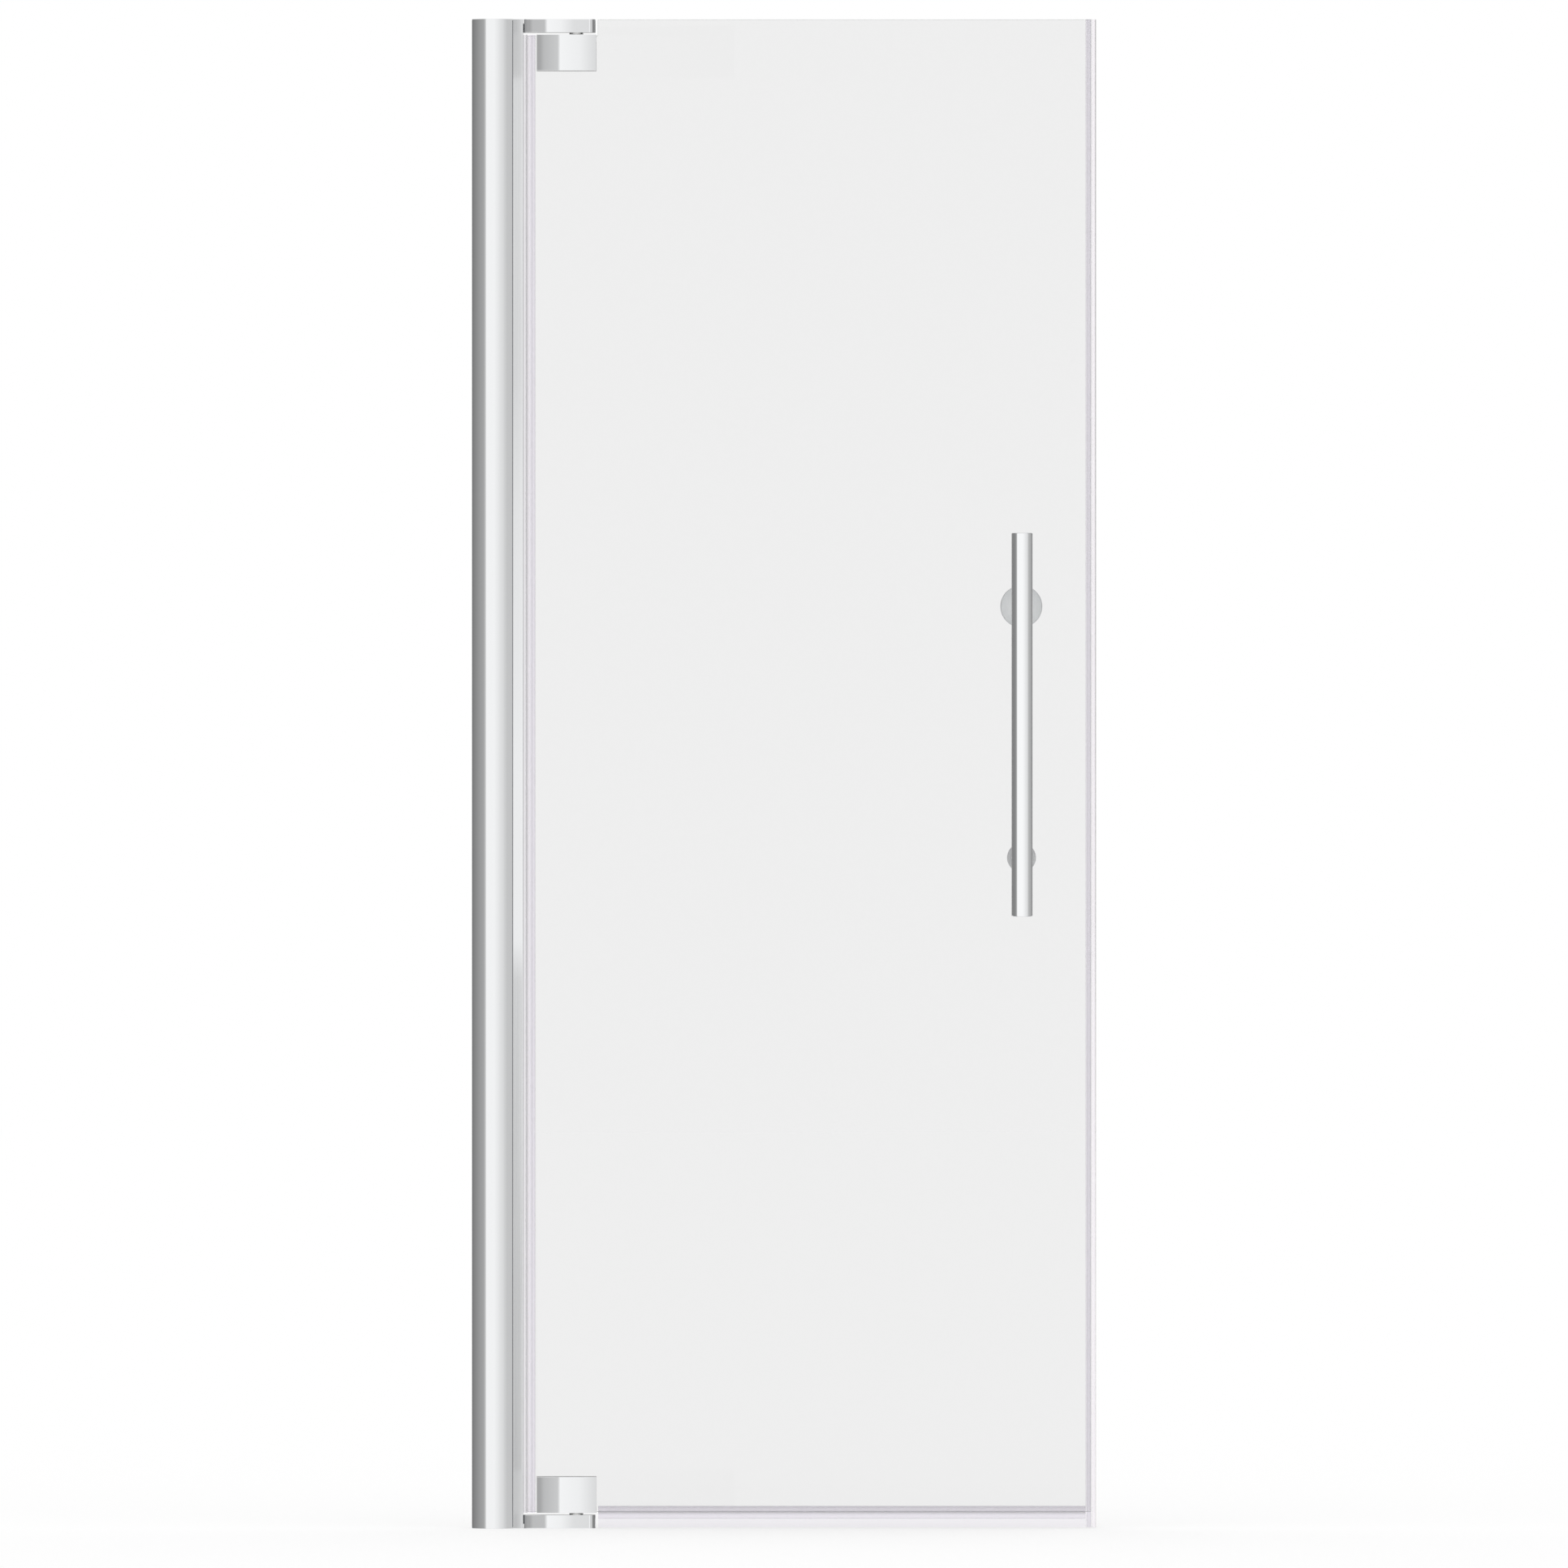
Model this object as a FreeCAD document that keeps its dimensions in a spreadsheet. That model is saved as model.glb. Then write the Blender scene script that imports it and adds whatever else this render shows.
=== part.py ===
# Pivot shower door: a telescoping wall jamb, a glass panel on two pivot hinges, and a bar handle.
# Millimetres. X runs from the wall (0) to the free edge, Y = 0 is the middle of the glass,
# -Y faces the room and +Y the shower, and Z = 0 is the threshold.
import FreeCAD, Part
import math
import os
import Sketcher
from FreeCAD import Placement, Rotation, Vector

SIZES = {
    "overall_height": 1828.8,
    # wall jamb: the rounded front is three tangent arcs, left, crest and right
    "jamb_width": 50.0,
    "jamb_front": 25.0,
    "jamb_back": 13.0,
    "crest_x": 26.6,
    "crest_radius": 20.5,
    "crest_left_x": 16.6,
    "crest_right_x": 36.0,
    "left_radius": 50.0,
    "right_radius": 96.0,
    "channel_half": 11.3,
    "channel_start": 6.0,
    "web_thickness": 2.5,
    "head_groove_half": 7.0,
    "skin_thickness": 1.6,
    "wall_thickness": 1.7,
    "chamber_left_x": 9.0,
    "chamber_right_x": 44.0,
    "cap_thickness": 1.5,
    "cap_wall_gap": 0.2,
    "cap_plug_length": 8.0,
    "plug_play": 0.1,
    "wall_hole_radius": 2.75,
    "wall_hole_first": 114.4,
    "wall_hole_pitch": 400.0,
    # telescoping post
    "expander_left": 18.0,
    "expander_right": 62.1,
    "expander_half": 11.0,
    "expander_wall": 1.6,
    "expander_face": 3.0,
    "expander_plug_right": 48.0,
    "adjust_in": 10.0,
    "adjust_out": 12.0,
    "adjust_screw_x": 32.0,
    "adjust_screw_radius": 2.1,
    "adjust_head_radius": 4.0,
    "adjust_head_length": 2.6,
    "adjust_washer_radius": 5.0,
    "adjust_washer_thickness": 1.0,
    "adjust_first": 164.4,
    "adjust_pitch": 500.0,
    "slot_half": 2.45,
    "body_clearance": 0.3,
    # fixed arms and pivot pins
    "arm_right": 149.7,
    "arm_half": 12.5,
    "arm_height": 16.2,
    "arm_crown": 0.57,
    "arm_left_round": 4.6,
    "arm_right_round": 8.0,
    "arm_relief_depth": 1.2,
    "arm_relief_height": 5.5,
    "arm_screw_radius": 3.0,
    "arm_screw_offset": 5.0,
    "arm_screw_reach": 18.0,
    "arm_screw_head_radius": 4.3,
    "arm_screw_head_length": 5.8,
    "pivot_x": 126.4,
    "pin_radius": 4.5,
    "pin_reach": 26.0,
    "collar_radius": 8.45,
    "collar_thickness": 1.9,
    "lock_screw_radius": 2.5,
    "lock_screw_length": 6.0,
    "close_fit": 0.02,
    "running_fit": 0.05,
    # hinge clamps
    "hinge_gap": 2.4,
    "clamp_left": 78.5,
    "clamp_right": 150.7,
    "clamp_height": 43.8,
    "clamp_thickness": 9.0,
    "clamp_crown": 1.0,
    "clamp_edge_round": 0.4,
    "gasket_thickness": 1.5,
    "gasket_inset": 1.0,
    "block_half_width": 10.0,
    "block_half_depth": 9.0,
    "block_height": 28.0,
    "block_inset": 0.4,
    "bush_radius": 6.0,
    "clamp_screw_radius": 2.5,
    "clamp_screw_left": 98.5,
    "clamp_screw_right": 141.2,
    "clamp_screw_near": 10.0,
    "clamp_screw_far": 23.5,
    "clamp_head_radius": 4.25,
    "clamp_head_length": 5.0,
    "clamp_head_sink": 5.5,
    "clamp_screw_reach": 5.5,
    # glass
    "glass_half": 5.0,
    "glass_left": 67.3,
    "glass_right": 750.4,
    "glass_inset": 1.2,
    "arm_notch_x": 152.4,
    "notch_left": 88.0,
    "notch_right": 145.0,
    "notch_depth": 31.0,
    "notch_radius": 8.0,
    "glass_arris": 0.5,
    # edge seals
    "seal_play": 0.1,
    "seal_wall": 1.1,
    "seal_base": 1.3,
    "hinge_seal_leg": 9.5,
    "hinge_seal_tip": 62.3,
    "strike_seal_leg": 6.6,
    "strike_seal_tip": 756.4,
    "bulb_half": 3.6,
    "bulb_wall": 0.8,
    "seal_floor_gap": 1.0,
    "sweep_left": 152.9,
    "sweep_right": 743.6,
    "sweep_leg": 7.0,
    "wipe_half": 0.6,
    "wipe_tip_half": 0.4,
    "drip_reach": 11.6,
    "drip_drop": 7.0,
    "drip_thickness": 1.1,
    # handle
    "handle_x": 666.2,
    "bar_radius": 12.7,
    "bar_wall": 1.5,
    "bar_bottom": 741.4,
    "bar_top": 1205.6,
    "bar_offset": 56.0,
    "bar_cap_thickness": 2.0,
    "bar_cap_plug": 10.0,
    "handle_low": 812.7,
    "handle_pitch": 304.8,
    "standoff_radius": 10.0,
    "standoff_start": 3.0,
    "hub_radius": 7.0,
    "hub_flange_radius": 11.0,
    "hub_length": 12.0,
    "handle_gasket_radius": 11.8,
    "handle_hole_radius": 8.0,
    "sleeve_radius": 7.9,
    "stud_radius": 4.0,
    "set_screw_radius": 2.0,
    "set_screw_inset": 0.3,
    "knob_gasket_thickness": 1.0,
    "knob_neck_length": 20.0,
    "knob_neck_radius": 9.5,
    "knob_waist_radius": 7.5,
    "knob_radius": 25.35,
    "knob_cone": 2.0,
    "knob_rim": 8.0,
    "knob_dome": 3.0,
    "knob_thread": 7.0,
    "inner_cap_radius": 17.55,
    "inner_cap_thickness": 6.0,
    "inner_cap_gasket": 1.5,
    "inner_cap_round": 1.2,
    "inner_cap_thread": 4.0,
}
WALL_HOLES = 5
ADJUSTMENT_SCREWS = 4

doc = FreeCAD.newDocument("pivot_shower_door")
parts = []


class Size:
    # A value in mm with the spreadsheet expression that gives it.
    def __init__(self, value, text):
        self.value = value
        self.text = text

    def __add__(self, other):
        other = as_size(other)
        return Size(self.value + other.value, f"({self.text} + {other.text})")

    def __sub__(self, other):
        other = as_size(other)
        return Size(self.value - other.value, f"({self.text} - {other.text})")

    def __mul__(self, other):
        other = as_size(other)
        return Size(self.value * other.value, f"({self.text} * {other.text})")

    def __truediv__(self, other):
        other = as_size(other)
        return Size(self.value / other.value, f"({self.text} / {other.text})")

    def __neg__(self):
        return as_size(0) - self


def as_size(number):
    if isinstance(number, Size):
        return number
    return Size(float(number), f"({float(number)})")


def root(size):
    return Size(math.sqrt(size.value), f"sqrt({size.text})")


class Sheet:
    # Each driving dimension as an attribute, such as s.glass_left.
    def __init__(self, values):
        sheet = doc.addObject("Spreadsheet::Sheet", "Sizes")
        for row, (alias, value) in enumerate(values.items(), start=1):
            sheet.set(f"A{row}", str(value))
            sheet.setAlias(f"A{row}", alias)
            setattr(self, alias, Size(value, f"Sizes.{alias}"))
        doc.recompute()


s = Sheet(SIZES)
ZERO = as_size(0)

# heights and depths that several pieces share
clamp_edges = {"top": s.overall_height - s.arm_height - s.hinge_gap, "bottom": s.arm_height + s.hinge_gap}
glass_edges = {"top": clamp_edges["top"] - s.glass_inset, "bottom": clamp_edges["bottom"] + s.glass_inset}
arm_faces = {"top": s.overall_height - s.arm_height, "bottom": s.arm_height}
INWARD = {"top": -1, "bottom": 1}
clamp_inner = s.glass_half + s.gasket_thickness
seal_inner = s.glass_half + s.seal_play
seal_outer = seal_inner + s.seal_wall
handle_heights = [s.handle_low, s.handle_low + s.handle_pitch]
hub_face = s.glass_half + s.gasket_thickness
knob_face = s.glass_half + s.knob_gasket_thickness


# ---- sketches

def point(corner):
    return Vector(corner[0].value, corner[1].value, 0)


def new_sketch(body, plane, name, offset=ZERO):
    sketch = body.newObject("Sketcher::SketchObject", name)
    origin_plane = next(f for f in body.Origin.OriginFeatures if f.Role == plane)
    sketch.AttachmentSupport = [(origin_plane, "")]
    sketch.MapMode = "FlatFace"
    sketch.setExpression("AttachmentOffset.Base.z", offset.text)
    return sketch


def bind(sketch, kind, references, size):
    index = sketch.addConstraint(Sketcher.Constraint(kind, *references, size.value))
    sketch.setExpression(f"Constraints[{index}]", size.text)


def place(sketch, geometry, vertex, corner):
    for kind, axis, size in (("DistanceX", -2, corner[0]), ("DistanceY", -1, corner[1])):
        if abs(size.value) < 1e-9:
            sketch.addConstraint(Sketcher.Constraint("PointOnObject", geometry, vertex, axis))
        else:
            bind(sketch, kind, (-1, 1, geometry, vertex), size)


def short_arc(start, end, radius, turn):
    # turn is 1 for an arc that runs counter-clockwise from start to end, and -1 for clockwise
    chord = end - start
    left = Vector(-chord.y, chord.x, 0).normalize()
    rise = math.sqrt(radius ** 2 - (chord.Length / 2) ** 2)
    centre = (start + end) / 2 + left * (turn * rise)
    first, last = (start, end) if turn > 0 else (end, start)
    angles = [math.atan2(p.y - centre.y, p.x - centre.x) for p in (first, last)]
    return Part.ArcOfCircle(Part.Circle(centre, Vector(0, 0, 1), radius), *angles)


def draw_loop(sketch, corners, arcs=None):
    # Closes a loop through the corners. arcs gives (radius, turn) for the edge that leaves a corner.
    arcs = arcs or {}
    edges = []
    for i, corner in enumerate(corners):
        start = point(corner)
        end = point(corners[(i + 1) % len(corners)])
        if i in arcs:
            radius, turn = arcs[i]
            geometry = sketch.addGeometry(short_arc(start, end, radius.value, turn))
            ends = (1, 2) if turn > 0 else (2, 1)
        else:
            geometry = sketch.addGeometry(Part.LineSegment(start, end))
            ends = (1, 2)
        edges.append((geometry, ends))
    for i, (geometry, ends) in enumerate(edges):
        following, following_ends = edges[(i + 1) % len(edges)]
        join = (geometry, ends[1], following, following_ends[0])
        sketch.addConstraint(Sketcher.Constraint("Coincident", *join))
        place(sketch, geometry, ends[0], corners[i])
        if i in arcs:
            bind(sketch, "Radius", (geometry,), arcs[i][0])


def draw_circle(sketch, centre, radius):
    circle = sketch.addGeometry(Part.Circle(point(centre), Vector(0, 0, 1), radius.value))
    bind(sketch, "Radius", (circle,), radius)
    place(sketch, circle, 3, centre)


def draw_slot(sketch, left, right, height, half):
    up = Vector(0, half.value, 0)
    ends = []
    for centre, angles in ((left, (math.pi / 2, 1.5 * math.pi)), (right, (-math.pi / 2, math.pi / 2))):
        circle = Part.Circle(point((centre, height)), Vector(0, 0, 1), half.value)
        arc = sketch.addGeometry(Part.ArcOfCircle(circle, *angles))
        place(sketch, arc, 3, (centre, height))
        ends.append(arc)
    low = sketch.addGeometry(Part.LineSegment(point((left, height)) - up, point((right, height)) - up))
    high = sketch.addGeometry(Part.LineSegment(point((right, height)) + up, point((left, height)) + up))
    for join in ((ends[0], 2, low, 1), (low, 2, ends[1], 1), (ends[1], 2, high, 1), (high, 2, ends[0], 1)):
        sketch.addConstraint(Sketcher.Constraint("Tangent", *join))
    sketch.addConstraint(Sketcher.Constraint("Equal", *ends))
    bind(sketch, "Radius", (ends[0],), half)


def rectangle(left, low, right, high):
    return [(left, low), (right, low), (right, high), (left, high)]


# ---- features

def new_body(label):
    body = doc.addObject("PartDesign::Body", label)
    body.Label = label
    return body


def kept(item):
    parts.append(item)
    return item


def add_pad(body, sketch, length, name):
    pad = body.newObject("PartDesign::Pad", name)
    pad.Profile = sketch
    pad.setExpression("Length", length.text)
    doc.recompute()
    return pad


def add_pocket(body, sketch, depth, name):
    # Cuts on whichever side of the sketch the solid lies.
    before = body.Shape.Volume
    pocket = body.newObject("PartDesign::Pocket", name)
    pocket.Profile = sketch
    pocket.setExpression("Length", depth.text)
    doc.recompute()
    if pocket.Shape.isNull() or body.Shape.Volume > before - 0.01:
        pocket.Reversed = True
        doc.recompute()
    if body.Shape.Volume > before - 0.01:
        raise RuntimeError(f"{body.Label}: {name} cuts nothing")
    return pocket


def repeat_up(body, feature, pitch, count, name):
    pattern = body.newObject("PartDesign::LinearPattern", name)
    pattern.Originals = [feature]
    upright = next(f for f in body.Origin.OriginFeatures if f.Role == "Z_Axis")
    pattern.Direction = (upright, [""])
    pattern.setExpression("Length", (pitch * (count - 1)).text)
    pattern.Occurrences = count
    body.Tip = pattern
    doc.recompute()
    return pattern


def outermost_face(shape, direction):
    reach = [face.CenterOfMass.dot(direction) for face in shape.Faces]
    return f"Face{reach.index(max(reach)) + 1}"


def move_to(item, position, axis):
    # Turns local Z to the axis and binds the place to the sheet.
    item.Placement = Placement(Vector(*(p.value for p in position)), Rotation(Vector(0, 0, 1), axis))
    for letter, size in zip("xyz", position):
        item.setExpression(f"Placement.Base.{letter}", size.text)


def turned(label, outline, position, axis, arcs=None):
    # A lathe piece: the outline gives radius and height along the axis.
    body = new_body(label)
    sketch = new_sketch(body, "XZ_Plane", f"{label}_profile")
    draw_loop(sketch, outline, arcs)
    revolution = body.newObject("PartDesign::Revolution", f"{label}_turn")
    revolution.Profile = sketch
    revolution.ReferenceAxis = (sketch, ["V_Axis"])
    revolution.Angle = 360
    doc.recompute()
    move_to(body, position, axis)
    return body


def add_hex_socket(body, across, height, depth):
    # A hexagon socket that opens at this height on the lathe axis.
    sketch = new_sketch(body, "XY_Plane", f"{body.Label}_hex", height)
    radius = across / math.sqrt(3)
    turns = [math.radians(60 * i + 30) for i in range(6)]
    draw_loop(sketch, [(radius * math.cos(a), radius * math.sin(a)) for a in turns])
    add_pocket(body, sketch, depth, f"{body.Label}_socket")


def group(label, items):
    # Identical pieces that share one node as separate solids.
    compound = doc.addObject("Part::Compound", label)
    compound.Label = label
    compound.Links = items
    return kept(compound)


def cylinder(name, radius, length, position, axis):
    item = doc.addObject("Part::Cylinder", name)
    item.setExpression("Radius", radius.text)
    item.setExpression("Height", length.text)
    move_to(item, position, axis)
    return item


def ring_outline(inner, outer, low, high):
    return rectangle(inner, low, outer, high)


UP = Vector(0, 0, 1)
DOWN = Vector(0, 0, -1)
ROOM = Vector(0, -1, 0)
SHOWER = Vector(0, 1, 0)
FREE_EDGE = Vector(1, 0, 0)


def cap_screw(label, radius, length, head_radius, head_length, position, axis):
    # Local Z runs from the tip side of the head into the work, so the head lies below zero.
    outline = [
        (ZERO, -head_length), (head_radius * 0.92, -head_length), (head_radius, -head_length * 0.9),
        (head_radius, ZERO), (radius, ZERO), (radius, length - radius * 0.3),
        (radius * 0.7, length), (ZERO, length),
    ]
    body = turned(label, outline, position, axis)
    add_hex_socket(body, radius * 1.7, -head_length, head_length * 0.5)
    return body


# ---- wall jamb

def jamb_front():
    # Corners of the rounded front from the wall to the mouth, with the arcs between them.
    crest = (s.crest_x, s.crest_radius - s.jamb_front)
    joints = []
    for x in (s.crest_left_x, s.crest_right_x):
        run = x - crest[0]
        joints.append((x, crest[1] - root(s.crest_radius * s.crest_radius - run * run)))
    centres = []
    for joint, radius in zip(joints, (s.left_radius, s.right_radius)):
        scale = radius / s.crest_radius
        centres.append(tuple(j + (c - j) * scale for j, c in zip(joint, crest)))
    return crest, joints, centres


def arc_depth(centre, radius, x):
    run = centre[0] - x
    return centre[1] - root(radius * radius - run * run)


def draw_jamb_section(sketch):
    _, joints, centres = jamb_front()
    corners = [
        (ZERO, s.jamb_back),
        (ZERO, arc_depth(centres[0], s.left_radius, ZERO)),
        joints[0],
        joints[1],
        (s.jamb_width, arc_depth(centres[1], s.right_radius, s.jamb_width)),
        (s.jamb_width, -s.channel_half),
        (s.channel_start, -s.channel_half),
        (s.channel_start, -s.head_groove_half),
        (s.web_thickness, -s.head_groove_half),
        (s.web_thickness, s.head_groove_half),
        (s.channel_start, s.head_groove_half),
        (s.channel_start, s.channel_half),
        (s.jamb_width, s.channel_half),
        (s.jamb_width, s.jamb_back),
    ]
    draw_loop(sketch, corners, {1: (s.left_radius, 1), 2: (s.crest_radius, 1), 3: (s.right_radius, 1)})


def draw_jamb_chamber(sketch, play=ZERO):
    # The hollow between the rounded skin and the channel wall; play makes it smaller for a plug.
    crest, joints, centres = jamb_front()
    skin = s.skin_thickness + play
    share = (s.crest_radius - skin) / s.crest_radius
    inner = [tuple(c + (j - c) * share for j, c in zip(joint, crest)) for joint in joints]
    radii = [s.left_radius - skin, s.right_radius - skin]
    left, right = s.chamber_left_x + play, s.chamber_right_x - play
    floor = -(s.channel_half + s.wall_thickness + play)
    corners = [
        (left, floor),
        (left, arc_depth(centres[0], radii[0], left)),
        inner[0],
        inner[1],
        (right, arc_depth(centres[1], radii[1], right)),
        (right, floor),
    ]
    draw_loop(sketch, corners, {1: (radii[0], 1), 2: (s.crest_radius - skin, 1), 3: (radii[1], 1)})


def make_wall_jamb():
    body = new_body("wall_jamb")
    section = new_sketch(body, "XY_Plane", "jamb_section", s.cap_thickness)
    draw_jamb_section(section)
    length = s.overall_height - s.cap_thickness * 2
    add_pad(body, section, length, "jamb_extrusion")
    chamber = new_sketch(body, "XY_Plane", "jamb_chamber", s.cap_thickness)
    draw_jamb_chamber(chamber)
    add_pocket(body, chamber, length, "jamb_hollow")
    holes = new_sketch(body, "YZ_Plane", "jamb_wall_hole")
    draw_circle(holes, (ZERO, s.wall_hole_first), s.wall_hole_radius)
    hole = add_pocket(body, holes, s.web_thickness, "jamb_screw_hole")
    repeat_up(body, hole, s.wall_hole_pitch, WALL_HOLES, "jamb_screw_holes")
    slots = new_sketch(body, "XZ_Plane", "jamb_slot", -(s.jamb_back + 1))
    left = s.adjust_screw_x - s.adjust_in
    right = s.adjust_screw_x + s.adjust_out
    draw_slot(slots, left, right, s.adjust_first, s.slot_half)
    slot = add_pocket(body, slots, s.wall_thickness + 2, "jamb_adjustment_slot")
    repeat_up(body, slot, s.adjust_pitch, ADJUSTMENT_SCREWS, "jamb_adjustment_slots")
    kept(body)


def make_jamb_cap(label, plate_low, plug_low):
    # The plate stands clear of the wall, so that only the profile bears on it.
    body = new_body(label)
    plate = new_sketch(body, "XY_Plane", f"{label}_plate", plate_low)
    draw_jamb_section(plate)
    add_pad(body, plate, s.cap_thickness, f"{label}_pad")
    gap = new_sketch(body, "XY_Plane", f"{label}_gap", plate_low)
    draw_loop(gap, rectangle(-s.cap_wall_gap, -(s.jamb_front + 1), s.cap_wall_gap, s.jamb_back + 1))
    add_pocket(body, gap, s.cap_thickness, f"{label}_wall_gap")
    plug = new_sketch(body, "XY_Plane", f"{label}_plug", plug_low)
    draw_jamb_chamber(plug, s.plug_play)
    add_pad(body, plug, s.cap_plug_length, f"{label}_plug_pad")
    kept(body)


# ---- telescoping post

def make_expander():
    body = new_body("expander_profile")
    length = s.overall_height - s.cap_thickness * 2
    outer = new_sketch(body, "XY_Plane", "expander_outer", s.cap_thickness)
    half, wall = s.expander_half, s.expander_wall
    draw_loop(outer, rectangle(s.expander_left, -half, s.expander_right, half))
    add_pad(body, outer, length, "expander_extrusion")
    inner = new_sketch(body, "XY_Plane", "expander_inner", s.cap_thickness)
    inner_right = s.expander_right - s.expander_face
    draw_loop(inner, rectangle(s.expander_left + wall, wall - half, inner_right, half - wall))
    add_pocket(body, inner, length, "expander_hollow")
    tapped = new_sketch(body, "XZ_Plane", "expander_tapped", -(half + 1))
    draw_circle(tapped, (s.adjust_screw_x, s.adjust_first), s.adjust_screw_radius + s.close_fit)
    hole = add_pocket(body, tapped, wall + 2, "expander_tapped_hole")
    repeat_up(body, hole, s.adjust_pitch, ADJUSTMENT_SCREWS, "expander_tapped_holes")
    arm_holes = new_sketch(body, "YZ_Plane", "expander_arm_holes", s.expander_right + 1)
    for middle in arm_middles().values():
        for offset in (s.arm_screw_offset, -s.arm_screw_offset):
            draw_circle(arm_holes, (offset, middle), s.arm_screw_radius + s.close_fit)
    add_pocket(body, arm_holes, s.expander_face + 2, "expander_arm_screw_holes")
    kept(body)


def make_expander_plug(label, plate_low, plug_low):
    body = new_body(label)
    half, wall, play = s.expander_half, s.expander_wall, s.plug_play
    plate = new_sketch(body, "XY_Plane", f"{label}_plate", plate_low)
    draw_loop(plate, rectangle(s.expander_left, -half, s.expander_right, half))
    add_pad(body, plate, s.cap_thickness, f"{label}_pad")
    plug = new_sketch(body, "XY_Plane", f"{label}_plug", plug_low)
    reach = half - wall - play
    draw_loop(plug, rectangle(s.expander_left + wall + play, -reach, s.expander_plug_right, reach))
    add_pad(body, plug, s.cap_plug_length, f"{label}_plug_pad")
    kept(body)


def adjustment_heights():
    return [s.adjust_first + s.adjust_pitch * i for i in range(ADJUSTMENT_SCREWS)]


def make_adjustment_fasteners():
    washer_face = s.jamb_back + s.body_clearance
    head_face = washer_face + s.adjust_washer_thickness
    length = head_face - s.expander_half + s.expander_wall + 1
    head_radius, head_length = s.adjust_head_radius, s.adjust_head_length
    radius = s.adjust_screw_radius
    outline = [
        (ZERO, -head_length), (head_radius * 0.6, -head_length), (head_radius, -head_length * 0.45),
        (head_radius, ZERO), (radius, ZERO), (radius, length - 0.6), (radius * 0.7, length), (ZERO, length),
    ]
    screws, washers = [], []
    for i, height in enumerate(adjustment_heights(), start=1):
        position = (s.adjust_screw_x, head_face, height)
        screw = turned(f"adjustment_screw_{i}", outline, position, ROOM)
        add_hex_socket(screw, radius * 1.2, -head_length, head_length * 0.55)
        screws.append(screw)
        washer = ring_outline(radius + s.close_fit, s.adjust_washer_radius, ZERO, s.adjust_washer_thickness)
        washers.append(turned(f"adjustment_washer_{i}", washer, position, ROOM))
    group("adjustment_screws", screws)
    group("adjustment_washers", washers)


# ---- fixed arms and pivot pins

def arm_middles():
    return {"top": s.overall_height - s.arm_height / 2, "bottom": s.arm_height / 2}


def crown_radius(left, right, crown):
    # The radius of a face that stands this much higher in its middle than at its ends.
    return (right - left) * (right - left) / (crown * 8) + crown / 2


def upright_edges(shape, x, tolerance=0.5):
    # Edges that run straight up at this X.
    names = []
    for i, edge in enumerate(shape.Edges, start=1):
        box = edge.BoundBox
        if box.ZLength > 5 and box.XLength < 0.01 and abs(box.XMin - x.value) < tolerance:
            names.append(f"Edge{i}")
    return names


def add_fillet(body, base, names, radius, name):
    fillet = body.newObject("PartDesign::Fillet", name)
    fillet.Base = (base, names)
    fillet.setExpression("Radius", radius.text)
    doc.recompute()
    return fillet


def make_arm(end):
    label = f"{end}_arm"
    low = s.overall_height - s.arm_height if end == "top" else ZERO
    body = new_body(label)
    outline = new_sketch(body, "XY_Plane", f"{label}_outline", low)
    crowned = (crown_radius(s.expander_right, s.arm_right, s.arm_crown), 1)
    edge = s.arm_half - s.arm_crown
    draw_loop(outline, rectangle(s.expander_right, -edge, s.arm_right, edge), {0: crowned, 2: crowned})
    block = add_pad(body, outline, s.arm_height, f"{label}_block")
    right = upright_edges(block.Shape, s.arm_right)
    rounded = add_fillet(body, block, right, s.arm_right_round, f"{label}_free_end")
    left = upright_edges(rounded.Shape, s.expander_right)
    add_fillet(body, rounded, left, s.arm_left_round, f"{label}_post_end")
    relief = new_sketch(body, "XZ_Plane", f"{label}_relief", -(s.arm_half + 1))
    if end == "top":
        relief_low, relief_high = s.overall_height - s.arm_relief_height, s.overall_height + 1
    else:
        relief_low, relief_high = as_size(-1), s.arm_relief_height
    relief_right = s.expander_right + s.arm_relief_depth
    draw_loop(relief, rectangle(s.expander_right - 1, relief_low, relief_right, relief_high))
    add_pocket(body, relief, (s.arm_half + 1) * 2, f"{label}_relief_cut")
    bore = new_sketch(body, "XY_Plane", f"{label}_bore", low - 1)
    draw_circle(bore, (s.pivot_x, ZERO), s.pin_radius + s.close_fit)
    add_pocket(body, bore, s.arm_height + 2, f"{label}_pin_bore")
    tapped = new_sketch(body, "YZ_Plane", f"{label}_tapped", s.expander_right - 1)
    for offset in (s.arm_screw_offset, -s.arm_screw_offset):
        draw_circle(tapped, (offset, arm_middles()[end]), s.arm_screw_radius + s.close_fit)
    add_pocket(body, tapped, s.arm_screw_reach + 2, f"{label}_screw_holes")
    lock = new_sketch(body, "XZ_Plane", f"{label}_lock", -(s.arm_half + 1))
    draw_circle(lock, (s.pivot_x, arm_middles()[end]), s.lock_screw_radius + s.close_fit)
    add_pocket(body, lock, s.arm_half + 1 - s.pin_radius, f"{label}_lock_hole")
    kept(body)


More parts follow.
